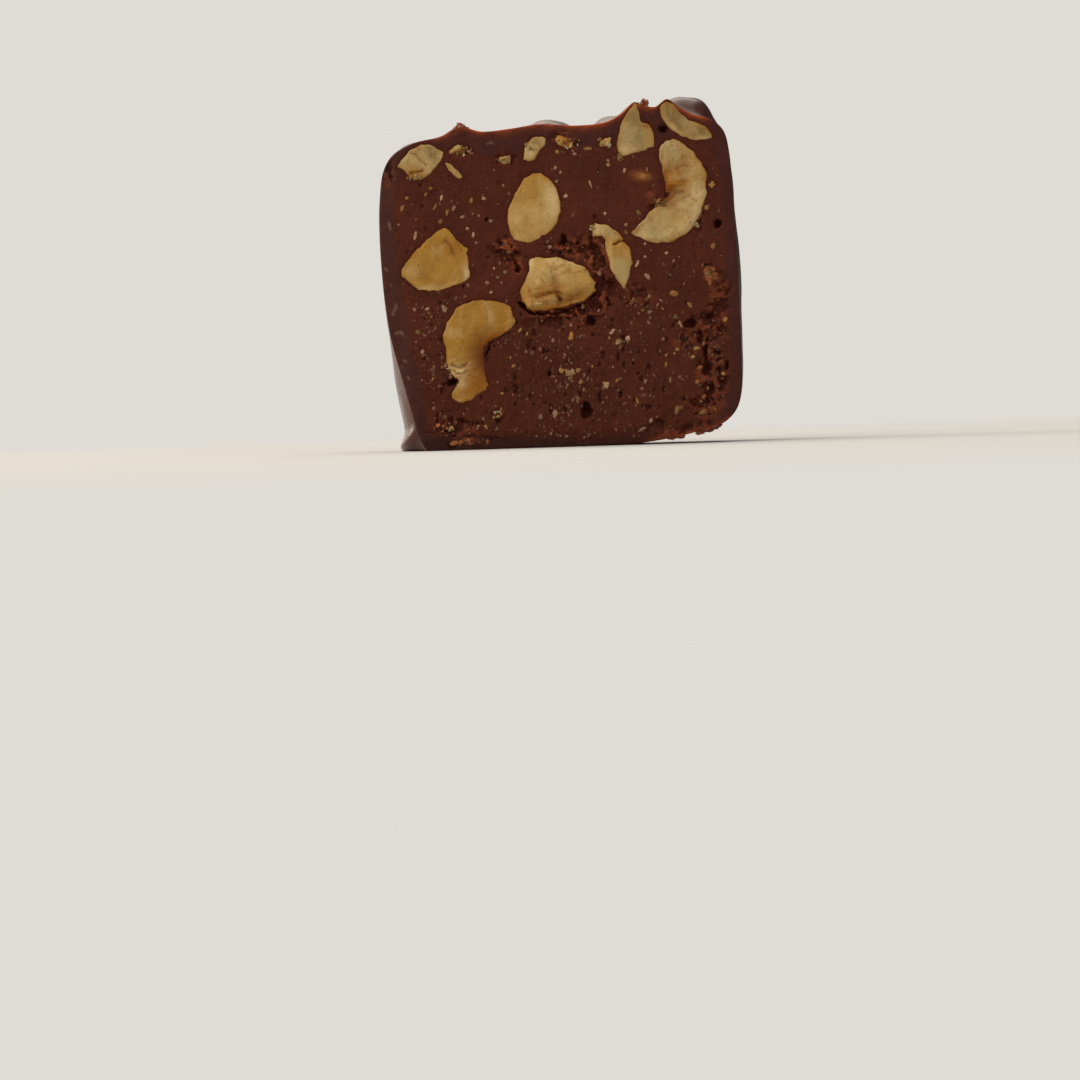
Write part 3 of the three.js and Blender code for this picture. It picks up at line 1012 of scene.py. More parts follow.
    def close(self, front: Array, back: Array, finish: Material) -> Piece:
        """Joins the cut face and the hidden side round their shared outline.

        Args:
            front: Grid of the cut face.
            back: Grid of the hidden side, without the outline.
            finish: Material of the nut flesh.

        Returns:
            The closed piece.
        """
        number = np.arange(front.shape[0] * front.shape[1]).reshape(front.shape[:2])
        behind = number.size + np.arange(back.shape[0] * back.shape[1]).reshape(back.shape[:2])
        left = np.stack([number[1:-2, 0], number[2:-1, 0], behind[1:, 0], behind[:-1, 0]], axis=1)
        right = np.stack([number[2:-1, -1], number[1:-2, -1], behind[:-1, -1], behind[1:, -1]], axis=1)
        quads = np.concatenate([grid_faces(number), grid_faces(behind)[:, ::-1], left, right])
        ends = np.concatenate([self.stitch(number[0], number[1, 0], behind[0], number[1, -1])[:, ::-1],
                               self.stitch(number[-1], number[-2, 0], behind[-1], number[-2, -1])])
        points = np.concatenate([front.reshape(-1, 3), back.reshape(-1, 3)])
        hidden = np.broadcast_to(self.hue.linear(), (behind.size, 3))
        tint = np.concatenate([self.tint.reshape(-1, 3), hidden])
        return make_piece(self.name + "_cut", points, [quads, ends], tint, [finish])

    @staticmethod
    def stitch(edge: Array, near: int, back: Array, far: int) -> Array:
        """Joins a fine end edge of the cut face to a coarse end row of the hidden side.

        Args:
            edge: Point numbers of the fine edge.
            near: Point beside the start of the row.
            back: Point numbers of the row.
            far: Point beside the end of the row.

        Returns:
            The triangles: a fan to the nearest coarse point, and a link from each fan to the next.
        """
        coarse = np.concatenate([[near], back, [far]])
        owner = np.round(np.linspace(0, len(coarse) - 1, len(edge))).astype(int)
        fans = np.stack([edge[:-1], edge[1:], coarse[owner[:-1]]], axis=1)
        steps = np.flatnonzero(np.diff(owner))
        links = np.stack([coarse[owner[steps]], edge[steps + 1], coarse[owner[steps + 1]]], axis=1)
        return np.concatenate([fans, links])


NUTS: tuple[Nut, ...] = (
    Nut("corner_nut", (
        (-15.9, 29, -15.85, 28.8), (-15, 30, -15.2, 28.4), (-14.2, 30.7, -14.6, 27.85),
        (-13.2, 31.1, -13.5, 27.5), (-12.2, 31, -12.5, 27.9), (-11.4, 30.5, -11.7, 28.7),
        (-11, 30.1, -11.1, 29.6),
    ), 3.2, Hue.PALE, 2, broken=0.4, stains=(
        Stain(-14, 28.4, 1.1, 0.5, Hue.GOLD, 0.8), Stain(-13.9, 27.9, 0.8, 0.25, Hue.AMBER, 0.8, dent=0.15),
        Stain(-12.2, 29.9, 0.9, 0.9, Hue.DULL, 0.5),
    ), cracks=(
        (0.06, 0.12, -14.3, 30.3, -13.4, 29.5, -12.9, 28.9), (0.1, 0.3, -14.5, 28.15, -13.3, 28.3),
        (0.05, 0.1, -12.6, 30.9, -12.3, 29.8),
    )),
    Nut("sliver_nut", (
        (-11.02, 29, -10.8, 29.25), (-10.75, 28.5, -10.3, 28.95), (-10.35, 27.9, -9.75, 28.4),
        (-9.85, 27.4, -9.3, 27.9), (-9.5, 27.3, -9.15, 27.6),
    ), 1.3, Hue.PALE, 3),
    Nut("upper_kernel", (
        (-2.3, 27.85, -1.3, 27.85), (-3.3, 27, -0.4, 27.1), (-4, 25.8, 0.25, 26), (-4.6, 24.5, 0.55, 24.7),
        (-4.95, 23.2, 0.4, 23.2), (-4.75, 22.1, -0.2, 22.1), (-4.2, 21.2, -1.6, 21.2),
        (-3.6, 20.75, -2.7, 20.75),
    ), 4.6, Hue.TAN, 4, proud=0.06, stains=(
        # The cream patch on the right side is a painted highlight.
        Stain(-0.3, 24.8, 0.75, 1.5, Hue.CREAM, 0.8), Stain(-3, 26.4, 1.2, 1.7, Hue.GOLD, 0.6, 30),
        Stain(-0.8, 22.7, 0.9, 0.4, Hue.CREAM, 0.35, 40), Stain(-1.6, 27.5, 1.2, 0.4, Hue.GOLD, 0.5),
    )),
    Nut("left_kernel", (
        (-15.75, 18.5, -15.65, 17.9), (-14.9, 19.6, -14.7, 16.75), (-13.6, 21, -13.5, 16.2),
        (-12.2, 22.15, -12.2, 16.2), (-11, 22.6, -10.9, 16.45), (-10.15, 21.5, -9.8, 16.8),
        (-9.35, 20.85, -9.1, 17.1), (-8.75, 20.3, -8.7, 17.7), (-8.9, 19.75, -8.72, 18.5),
    ), 4.4, Hue.GOLD, 5, fibre=60, ragged=0.2, stains=(
        # The cream patch along the right edge is a painted highlight, and the amber spot at the notch on the
        # right is painted shade.
        Stain(-9.1, 17.9, 0.4, 1, Hue.CREAM, 0.8), Stain(-12.2, 18.8, 1.8, 1.6, Hue.GOLD, 0.8),
        Stain(-13, 16.5, 1.9, 0.35, Hue.CREAM, 0.45), Stain(-8.7, 19.25, 0.3, 0.5, Hue.AMBER, 0.9),
        Stain(-14.6, 18.3, 0.8, 0.8, Hue.CREAM, 0.35),
        Stain(-10.2, 20.4, 0.7, 0.9, Hue.AMBER, 0.4, dent=0.2),
    ), cracks=(
        (0.1, 0.14, -11.2, 21.3, -10.6, 20.5, -10.3, 19.7), (0.07, 0.1, -9.9, 21, -9.5, 20.1),
        (0.06, 0.06, -12.9, 20.6, -11.9, 19.4),
    )),
    Nut("centre_kernel", (
        (-3.4, 16.7, -3.8, 15.8), (-2.95, 18, -3.6, 14.8), (-2.7, 19.2, -2.8, 14), (-1.2, 19.3, -1.2, 13.85),
        (0.4, 19.2, 0.4, 14.05), (1.8, 18.75, 1.9, 14.45), (3.1, 17.9, 3.1, 15), (3.95, 16.7, 3.95, 15.7),
    ), 4.8, Hue.TAN, 6, proud=0.34, rough=0.115, rim_width=0.1, rim_drop=0.2, broken=0.6, stains=(
        # The amber stains in the fold and in the upright dimple above it, the dark stain down the crack and
        # the amber band along the lower edge are painted shade of the fold and of the rounded underside.
        Stain(-0.6, 15.2, 3.4, 1.1, Hue.GOLD, 0.9, 6),
        Stain(-1.2, 15.9, 1.8, 0.5, Hue.AMBER, 0.9, 12, True, 0.3),
        Stain(-0.15, 16.6, 0.9, 0.3, Hue.AMBER, 0.6, 100, dent=0.4),
        Stain(1.3, 15, 1.9, 0.4, Hue.AMBER, 0.75, 14, dent=0.12),
        Stain(0.2, 14.9, 0.35, 0.6, Hue.SKIN_AND_SHADE, 0.9, dent=0.3),
        Stain(-1.5, 14.85, 1.5, 0.3, Hue.CREAM, 0.9, 6, True, -0.25),
        Stain(-0.4, 14.1, 2.6, 0.22, Hue.AMBER, 0.9, 5), Stain(0.4, 18.8, 2.2, 0.35, Hue.CREAM, 0.5, -12),
        Stain(-0.6, 17.6, 2.4, 0.9, Hue.CREAM, 0.3), Stain(-2.7, 18.6, 0.4, 0.6, Hue.CREAM, 0.9),
        Stain(3.2, 16.6, 0.6, 0.8, Hue.GOLD, 0.6), Stain(2, 16.3, 1.3, 0.7, Hue.TAN, 0.5, -8, dent=-0.25),
    ), cracks=(
        (0.1, 0.26, -2.2, 15.15, -1.5, 15.3, -0.8, 15.55, -0.1, 15.75, 0.4, 15.6),
        (0.1, 0.34, -0.05, 15.6, 0.2, 15.15, 0.35, 14.9), (0.05, 0.1, -1.2, 14.5, -0.4, 14.75),
        (0.05, 0.12, 0.98, 18, 1.77, 17.5, 3.2, 17.85), (0.05, 0.12, -2.4, 14.75, -1.7, 14.95, -1, 14.85),
        (0.06, 0.1, 0.3, 15.5, 1.7, 15.25, 2.6, 15.6), (0.05, 0.1, 0.8, 14.6, 1.6, 14.9),
        (0.04, 0.06, -2.2, 18.2, -1.2, 17.6, -0.9, 16.8),
    )),
    Nut("slim_crescent", (
        (4, 22.7, 3.7, 22.3), (5, 22.4, 3.75, 21.25), (6.2, 21.7, 4.7, 21.2), (7.1, 20.6, 5, 20.2),
        (7.6, 19.3, 5.25, 18.9), (7.65, 18, 5.5, 17.8), (7.25, 16.8, 6.15, 16.8), (6.85, 15.8, 6.65, 15.8),
    ), 2.8, Hue.GOLD, 7, fibre=105, stains=(
        Stain(6.6, 17.4, 1.2, 1.7, Hue.PALE, 1), Stain(4.3, 22, 0.7, 0.6, Hue.CREAM, 0.9),
        Stain(5.6, 21.5, 0.9, 0.5, Hue.PALE, 0.8, -40), Stain(5.5, 19.4, 0.3, 1.4, Hue.CREAM, 0.4),
    ), cracks=(
        (0.07, 0.5, 5.9, 20.4, 6.5, 20.6, 7, 20.62),
    )),
    Nut("big_crescent", (
        (12.1, 30.9, 11.3, 30.7), (13.4, 30.2, 10.85, 29.8), (14.6, 29, 10.85, 28.4),
        (15.35, 27.4, 11, 27.1), (15.5, 25.6, 11.15, 26), (15.15, 23.9, 11.1, 25), (14.2, 22.2, 10.5, 24.2),
        (12.8, 20.85, 9.7, 23.6), (11, 20.25, 9.1, 22.9), (9.2, 20.55, 8.45, 22.25),
        (7.95, 21.3, 7.75, 21.55),
    ), 4.8, Hue.PALE, 8, fibre=75, rough=0.1, broken=0.35, stains=(
        Stain(12.6, 26.8, 2.1, 1.5, Hue.GOLD, 1, 4, True),
        Stain(11.3, 26.4, 1.9, 1.7, Hue.AMBER, 1, 4, True),
        Stain(11.1, 26.1, 0.8, 1.5, Hue.AMBER, 0.9, dent=0.12),
        # The dark band is painted shade under the ledge.
        Stain(11.3, 25.1, 1.5, 0.35, Hue.SKIN_AND_SHADE, 0.8, 32, dent=0.25),
        Stain(14.3, 22.6, 1.3, 0.5, Hue.WHITE, 0.9, 45, True, -0.12),
        Stain(12.2, 22.8, 1.6, 1, Hue.TAN, 0.7), Stain(9.2, 21.2, 1, 0.5, Hue.CREAM, 0.5),
        Stain(14.5, 25.3, 0.7, 0.7, Hue.CREAM, 0.6, dent=-0.12),
    ), cracks=(
        (0.2, 0.14, 10.9, 24.2, 11.8, 24.8, 12.5, 25.3, 13, 25.4), (0.08, 0.08, 12.4, 27.9, 13.6, 28),
        (0.08, 0.1, 13.6, 24.9, 14.4, 24.3), (0.06, 0.06, 11.2, 27.7, 12.2, 27.4),
    )),
    Nut("block_nut", (
        (7.1, 29.25, 9.4, 29.8), (6.6, 29.8, 10.35, 30.3), (6.65, 31.3, 10.1, 31.6), (6.85, 32.2, 9.9, 32.3),
        (7.1, 32.9, 9, 32.65), (7.5, 33.6, 8.8, 33.5), (8, 34.2, 8.72, 34.2), (8.3, 34.55, 8.65, 34.5),
    ), 2.6, Hue.PALE, 9, stains=(
        Stain(8.4, 31.5, 2.5, 3, Hue.DULL, 0.45), Stain(9.9, 30.9, 0.6, 0.6, Hue.GOLD, 0.6),
        Stain(9.7, 32.2, 0.5, 0.3, Hue.AMBER, 0.6), Stain(7.3, 29.9, 0.7, 0.5, Hue.CREAM, 0.5),
        Stain(8.4, 33.4, 0.6, 0.8, Hue.DULL, 0.6),
    ), cracks=(
        (0.05, 0.05, 8.9, 32.4, 8.6, 31.2, 9.1, 30.4),
    )),
    Nut("half_moon_nut", (
        (11.65, 34.75, 11.4, 34.6), (12.1, 34.35, 11.05, 33.9), (12.7, 33.8, 11.1, 33.1),
        (13.4, 33.1, 11.6, 32.3), (14.2, 32.6, 12.4, 31.5), (15.1, 32.25, 13.6, 30.8),
        (15.8, 31.8, 14.9, 30.5), (16.25, 31.2, 16.1, 30.65),
    ), 2.4, Hue.DULL, 10, stains=(
        Stain(12.3, 31.9, 1.6, 0.3, Hue.CREAM, 0.5, -50), Stain(15.2, 30.8, 0.9, 0.3, Hue.CREAM, 0.5, 5),
    )),
    Nut("hook_crescent", (
        (-4.7, 14.2, -4.3, 12.9), (-5.9, 15, -4.9, 12.1), (-7.4, 15.25, -6, 11.3), (-9, 15, -7, 10.85),
        (-10.4, 14.2, -7.4, 10.3), (-11.3, 13, -7.5, 9.7), (-11.65, 11.5, -7.5, 9), (-11.4, 10, -7.55, 8.3),
        (-11.35, 8.5, -7.5, 7.6), (-10.85, 7.6, -7.4, 7), (-10.35, 7, -7.3, 6.5), (-11, 6, -7.6, 5.9),
        (-10.9, 5.2, -8.7, 5.35), (-10.2, 4.75, -9.7, 4.8),
    ), 4.4, Hue.GOLD, 11, fibre=80, ragged=0.18, stains=(
        # The amber and dark stains on the inner, concave side and along the inner edge of the arm are painted
        # shade where that side falls away.
        Stain(-7.9, 9.6, 1.7, 2.4, Hue.AMBER, 0.7), Stain(-7.45, 9.3, 1.2, 2.3, Hue.SKIN_AND_SHADE, 1, -6, dent=0.25),
        Stain(-6.4, 11.5, 1.3, 0.35, Hue.AMBER, 0.9, 35), Stain(-8.7, 6.3, 1.6, 1.2, Hue.AMBER, 0.72),
        Stain(-10.4, 8.2, 1.2, 0.9, Hue.CREAM, 0.9, 20, True, -0.12),
        Stain(-9.9, 6.7, 0.5, 0.5, Hue.CREAM, 0.6), Stain(-6.9, 13.6, 0.4, 1, Hue.CREAM, 0.4, 10),
        Stain(-5.3, 13.3, 0.8, 0.7, Hue.AMBER, 0.3),
    ), cracks=(
        (0.1, 0.2, -10.9, 8.6, -10.1, 8.4, -9.4, 8.7), (0.09, 0.16, -10.6, 7.9, -9.9, 7.8, -9.5, 8.1),
        (0.06, 0.08, -7.3, 14.5, -7.1, 13.2), (0.07, 0.1, -9.4, 7.6, -8.6, 7.3),
        (0.06, 0.06, -8.2, 12.2, -7.8, 10.9),
    )),
    Nut("small_nut", (
        (-1.05, 31.6, -0.65, 31.3), (-1.9, 31.4, -0.9, 30.6), (-2.6, 30.85, -1.4, 29.9),
        (-3, 29.9, -1.9, 29.2), (-3.1, 29.2, -2.5, 28.95),
    ), 1.8, Hue.PALE, 12, ragged=0.14, stains=(
        Stain(-1.5, 30.9, 0.6, 0.5, Hue.DULL, 0.6),
    ), cracks=(
        (0.08, 0.12, -2.3, 30.2, -1.6, 30.1), (0.06, 0.08, -1.9, 31, -1.3, 30.6),
    )),
    Nut("left_chip", (
        (-10.6, 30.3, -10.5, 29.9), (-10.05, 30.6, -9.9, 30.1), (-9.5, 30.95, -9.2, 30.4),
        (-8.8, 30.6, -8.7, 30.4),
    ), 1, Hue.PALE, 13, ragged=0.22, rough=0.14, broken=0.6),
    Nut("middle_chip", (
        (-5.4, 29.35, -5.2, 28.95), (-4.8, 29.6, -4.6, 28.95), (-4.2, 29.65, -4.1, 29.3),
    ), 0.9, Hue.PALE, 14, ragged=0.22, rough=0.12),
    Nut("top_chip", (
        (0.3, 31.1, 0.45, 30.6), (0.9, 31.4, 1, 30.4), (1.5, 31.2, 1.6, 30.3), (2, 30.7, 2, 30.35),
    ), 1, Hue.AMBER, 15, ragged=0.25, stains=(
        Stain(0.7, 31, 0.4, 0.4, Hue.TAN, 0.9), Stain(1.2, 30.7, 0.3, 0.2, Hue.SKIN_AND_SHADE),
    )),
    Nut("right_chip", (
        (4.8, 30.5, 4.9, 30.3), (5.15, 30.95, 5.3, 30.25), (5.6, 31.15, 5.8, 30.3), (5.95, 30.8, 6.05, 30.5),
    ), 1, Hue.TAN, 16, ragged=0.2, stains=(
        Stain(5.5, 30.7, 0.4, 0.3, Hue.CREAM, 0.7),
    )),
)


# The cut face


@dataclass(frozen=True)
class CutFace:
    """The knife cut through coat and filling: its relief and its colours at some spots.

    Pores are ovals with a depth. Torn places are ovals with a strength for the depth, and the share of orange
    crumbs. Crevices are half width, depth, then x and z of the points that they run through, and scuffs are
    such points alone.
    """

    spots: Array
    sway: float = 0.05
    tooth: float = 0.025
    torn_depth: float = 0.8
    pit_depth: float = 0.25
    recess: float = 0.3
    coat_fade: float = 0.45
    scuff_width: float = 0.1
    glow_width: float = 0.27
    pores: Points = (
        (0.85, 20.95, 0.45, 0.55, 1), (3.8, 20.15, 0.5, 0.42, 0.9), (3.2, 12.7, 0.58, 0.58, 1.2),
        (2.55, 3.65, 0.6, 0.85, 1.1), (11.3, 31.85, 0.52, 0.42, 1), (16.4, 22.1, 0.4, 0.5, 0.9),
        (4.95, 16.2, 0.7, 0.62, 1), (-6.9, 23.25, 0.2, 0.2, 0.5), (13.4, 12.1, 0.7, 0.45, 1),
        (15.4, 12.7, 0.55, 0.4, 0.8), (14.95, 7.5, 0.6, 0.8, 1), (17, 7.7, 0.25, 0.5, 0.7),
        (-2.5, 10, 0.18, 0.3, 0.4), (-0.95, 7.6, 0.16, 0.4, 0.35), (8.3, 6.6, 0.16, 0.4, 0.4),
        (6.1, 5.1, 0.2, 0.25, 0.4), (-6.3, 2.8, 0.3, 0.25, 0.5), (-13.9, 27.75, 0.8, 0.2, 0.6),
        (-8.6, 30.2, 0.5, 0.25, 0.5), (1.25, 30.75, 0.4, 0.3, 0.5), (-10.95, 6.85, 0.55, 0.36, 1),
        (-3.95, 18.1, 0.3, 0.5, 0.9), (-4.7, 19.1, 0.5, 0.22, 0.7), (15.2, 5.2, 0.6, 0.6, 0.9),
        (14.4, 10.6, 0.4, 0.7, 0.8),
    )
    crevices: Points = (
        (0.26, 0.9, -3.8, 14.7, -3, 13.75, -1.6, 13.5, 0.4, 13.7, 1.8, 14.1, 3.1, 14.65, 4, 15.5),
        (0.24, 0.7, 14.2, 11.4, 14.6, 10.4, 14.9, 9.2, 14.9, 8.2),
        (0.26, 0.7, 15.3, 6.6, 15.6, 5.6, 15.2, 4.6),
        (0.14, 0.6, -4.3, 12.7, -5.2, 11.9, -6.2, 11, -7, 10.75, -7.2, 10, -7.3, 9),
        (0.1, 0.5, -5.9, 20.2, -5, 19.4, -4.4, 19.2, -3.2, 19.4),
        (0.22, 0.4, 0.6, 20.7, 1.8, 20.3, 2.8, 20, 4, 19.9), (0.08, 0.35, 3.7, 12.5, 4.6, 12.2, 5.4, 11.9),
        (0.06, 0.2, -14.3, 1.95, -12.2, 1.85, -9, 1.35, -6, 1.1),
        (0.07, 0.25, -11.6, 4.1, -10.6, 4.15, -9.6, 4), (0.06, 0.15, 9, 1.3, 12, 1.7, 14, 2.2),
    )
    torn_places: Points = (
        (-4.9, 19.9, 2.1, 1.7, 0.9, 0.7), (-3.9, 18.4, 1.2, 1.3, 0.9, 0.6), (1.8, 20.3, 3.4, 1.2, 0.8, 0.6),
        (4.4, 18.6, 1.4, 1.9, 0.9, 0.7), (5, 16.2, 1.5, 1.7, 0.9, 0.5), (0.8, 13.2, 4.6, 1.1, 0.85, 0.6),
        (4.3, 14.4, 1.3, 1.2, 0.85, 0.6), (15.5, 17.2, 1.2, 1.2, 0.8, 0.9), (16.2, 14.4, 1.3, 2.4, 0.7, 0.3),
        (15, 11.4, 2.2, 1.9, 0.8, 0.25), (15.7, 7.2, 1.8, 3.2, 0.85, 0.2), (15, 3.6, 2, 1.6, 0.75, 0.3),
        (-10.8, 2.1, 2.6, 0.9, 0.6, 0.3), (-9.2, 0.9, 2.6, 0.4, 0.6, 0.9), (8, 14.9, 1.6, 1.1, 0.5, 0.15),
        (12.7, 10.4, 1.6, 1.2, 0.6, 0.2), (-9.4, 30.4, 1.5, 0.8, 0.45, 0.3), (1.4, 30.8, 1.6, 0.7, 0.4, 0.5),
        (5.4, 30.6, 1, 0.7, 0.3, 0.2), (-6.3, 3.2, 1, 1, 0.5, 0.1), (14.4, 22.4, 1.5, 0.9, 0.5, 0.2),
        (10.4, 24.3, 1.2, 0.9, 0.6, 0.5), (-16.6, 28.2, 0.9, 1.8, 0.6, 0.2), (-4.8, 29.3, 1.2, 0.6, 0.4, 0),
        (12, 1.4, 4.6, 0.6, 0.5, 0.5),
    )
    stains: tuple[Stain, ...] = (
        Stain(8.8, 27.2, 0.95, 0.42, Hue.CRUMB_ORANGE, 0.75, 172),
        Stain(9.15, 27.15, 0.5, 0.24, Hue.BIT_GOLD, 0.7, 172),
    )
    scuffs: Points = (
        (-16.95, 15.7, -16.5, 15.5, -16.35, 14.7, -16.75, 13.9), (-16.6, 12, -15.9, 12.15, -15.6, 11.6),
        (-16, 9.5, -15.5, 9.1, -15.9, 8.6), (-6.8, 30.75, -6.3, 31.05, -5.9, 30.8),
        (-17.3, 18.6, -17.1, 18.4), (-16.9, 17.2, -16.8, 16.9), (-16.8, 23.2, -16.7, 22.6),
        (-15.4, 7.6, -15.1, 6.9),
    )

    def pattern(self, pattern: Pattern) -> Array:
        """Returns a chance pattern at the spots."""
        return pattern.at(self.spots)

    def warped(self, amount: float, pitch: float) -> Array:
        """Returns the spots shifted by noise, so that smooth shapes come out ragged."""
        return self.spots + amount * drift(self.spots, pitch, 3, (3, 6))

    @cached_property
    def nut_depth(self) -> Array:
        """Distance of each spot inside the nearest nut with its jagged outline, negative outside."""
        spots, shift = self.spots, jagged(self.spots)
        deepest = np.full(spots.shape[:-1], FAR_OUTSIDE)
        for nut in NUTS:
            ring = nut.ring(40)
            near = np.all((spots > ring.min(axis=0) - 2) & (spots < ring.max(axis=0) + 2), axis=-1)
            plain = spots[near] - nut.ragged * shift[near]
            deepest[near] = np.maximum(deepest[near], depth_inside(plain, ring))
        return deepest

    @cached_property
    def torn(self) -> tuple[Array, Array]:
        """How torn the filling is at each spot, and how orange its crumbs are, both from 0 to 1."""
        ragged = self.warped(0.7, 1.6)
        most, warmth = np.zeros((2, *ragged.shape[:-1]))
        for *oval, strength, orange in self.torn_places:
            share = 1 - smoothstep(oval_reach(ragged, oval), 0.5, 1.1)
            most, warmth = np.maximum(most, strength * share), np.maximum(warmth, orange * share)
        return most, warmth

    @cached_property
    def lumps(self) -> tuple[Array, Array]:
        """Depth of torn paste from 0 to 1, and the chance number of its grit.

        Strands follow the zero lines of noise, with gaps between them and grit in irregular cells.
        """
        ragged = self.warped(0.25, 0.8)
        gap = smoothstep(np.abs(Pattern.PASTE_STRANDS.at(ragged)), 0.08, 0.5)
        nearest, second, number = crumb_cells(ragged, 0.42, 29)
        grit = 0.6 * number + 0.4 * (1 - smoothstep(second - nearest, 0, 0.35))
        return np.clip(0.8 * gap**1.5 + 0.5 * grit - 0.2, 0, 1), number

    @cached_property
    def pits(self) -> Array:
        """Strength of small upright pits, which lie more thickly in the lower half."""
        start = 0.6 + 0.2 * smoothstep(self.spots[..., 1], 11, 17)
        inside = smoothstep(-FILLING_EDGE.beyond(self.spots), 0, 1.2)
        return inside * smoothstep(Pattern.PASTE_PITS.at(self.spots / (1, 1.5)) - start, 0, 0.25)

    @cached_property
    def hollow(self) -> Array:
        """Depth of the deepest of pores, crevices and torn places, the first two shaped as bowls."""
        ragged = self.warped(0.16, 0.6)
        deepest = self.torn_depth * self.torn[0] * self.lumps[0]
        for *oval, depth in self.pores:
            deepest = np.maximum(deepest, depth * bowl(oval_reach(ragged, oval)))
        breaks = np.maximum(0.55 + 0.6 * self.pattern(Pattern.CREVICE_GAPS), 0.1)
        for half_width, depth, *path in self.crevices:
            gap = distance_to_path(ragged, path) / breaks
            deepest = np.maximum(deepest, depth * bowl(gap / half_width))
        return deepest

    @property
    def paste_height(self) -> Array:
        """Height of the paste towards the viewer: the sway of the knife less hollows and pits."""
        level = self.sway * self.pattern(Pattern.KNIFE_SWAY) + self.tooth * self.pattern(Pattern.KNIFE_TOOTH)
        return level - self.hollow - self.pit_depth * self.pits

    @property
    def height(self) -> Array:
        """Height of the cut towards the viewer: the paste less the room for nuts."""
        ragged = self.nut_depth + 0.06 * self.pattern(Pattern.NUT_BEDS)
        return self.paste_height - self.recess * smoothstep(ragged, 0.02, 0.2)

    @property
    def tint(self) -> Array:
        """Colour of the cut, which changes softly from paste to coat.

        It is oily by nuts, warm where torn, darkened by painted shade in hollows, in pits and towards the
        base, lightened by painted light on the coat's left, and orange at thin edges by a painted glow of
        light through the thin coat.
        """
        x, z = np.moveaxis(self.spots, -1, 0)
        paste = Hue.PASTE.linear() * (1 + 0.14 * self.pattern(Pattern.PASTE_CLOUDS))[..., None]
        plain = Hue.COAT_CUT.linear() * (1 + 0.12 * self.pattern(Pattern.CUT_COAT_CLOUDS))[..., None]
        beyond = FILLING_EDGE.beyond(self.spots) + 0.3 * self.pattern(Pattern.CUT_COAT_EDGE)
        coat = smoothstep(beyond, -self.coat_fade, self.coat_fade)
        torn, warmth = self.torn
        depth, number = self.lumps
        # Painted shade in hollows: sunk moves the colour towards a darker, warmer hue and lowers it, and pits
        # are darkened too.
        sunk = smoothstep(self.hollow, 0.12, 0.8)
        colour = layered(
            paste + (plain - paste) * coat[..., None],
            # Painted light: the coat's cut is made lighter towards the left.
            (Hue.COAT_SCUFF_AND_LIGHT, 0.035 * coat * smoothstep(-x, 12, 16)),
            (Hue.PASTE_OIL_AND_SHADE, 0.7 * np.exp(-np.maximum(-self.nut_depth, 0) / 0.35)),
            (Hue.PASTE_TORN, torn * (0.3 + 0.7 * warmth) * smoothstep(depth, 0.5, 0.0)),
            (Hue.CRUMB_ORANGE, smoothstep(warmth, 0.6, 0.9) * smoothstep(number, 0.6, 0.3)),
            (Hue.PASTE_OIL_AND_SHADE, 0.7 * sunk))
        shade = 1 - 0.12 * sunk - 0.45 * self.pits * (1 - sunk)
        # Painted shade: darker towards the base, on the left and in the middle.
        base_shade = 1 - 0.35 * smoothstep(z, 1.9, 0.8) * smoothstep(x, 11, 7)
        broken = 0.55 * smoothstep(self.pattern(Pattern.SCUFF_GAPS), -0.3, 0.3)
        away = [distance_to_path(self.spots, path) / self.scuff_width for path in self.scuffs]
        edge = np.maximum(-CUT_EDGE.beyond(self.spots), 0)
        return layered(
            colour * (shade * base_shade)[..., None],
            *((stain.hue, stain.share(self.spots)) for stain in self.stains),
            *((Hue.COAT_SCUFF_AND_LIGHT, broken * np.exp(-(gap**2))) for gap in away),
            # Painted glow of light through the thin coat, orange along the cut edge.
            (Hue.PAINTED_EDGE_GLOW, self.thin_edge * np.exp(-edge / self.glow_width)))

    @property
    def thin_edge(self) -> Array:
        """Strength of the painted orange glow of light through the thin coat: along the top edge and at the
        lower right.
        """
        x, z = np.moveaxis(self.spots, -1, 0)
        top = smoothstep(x, -15.0, -10.0) * (1 - smoothstep(x, 15.0, 16.5)) * smoothstep(z, 30.5, 31.5)
        low = smoothstep(x, 7.0, 11.0) * (1 - smoothstep(z, 2.0, 3.2))
        return np.clip(np.maximum(top, 0.8 * low) * (0.75 + 0.6 * self.pattern(Pattern.THIN_EDGE)), 0, 1)


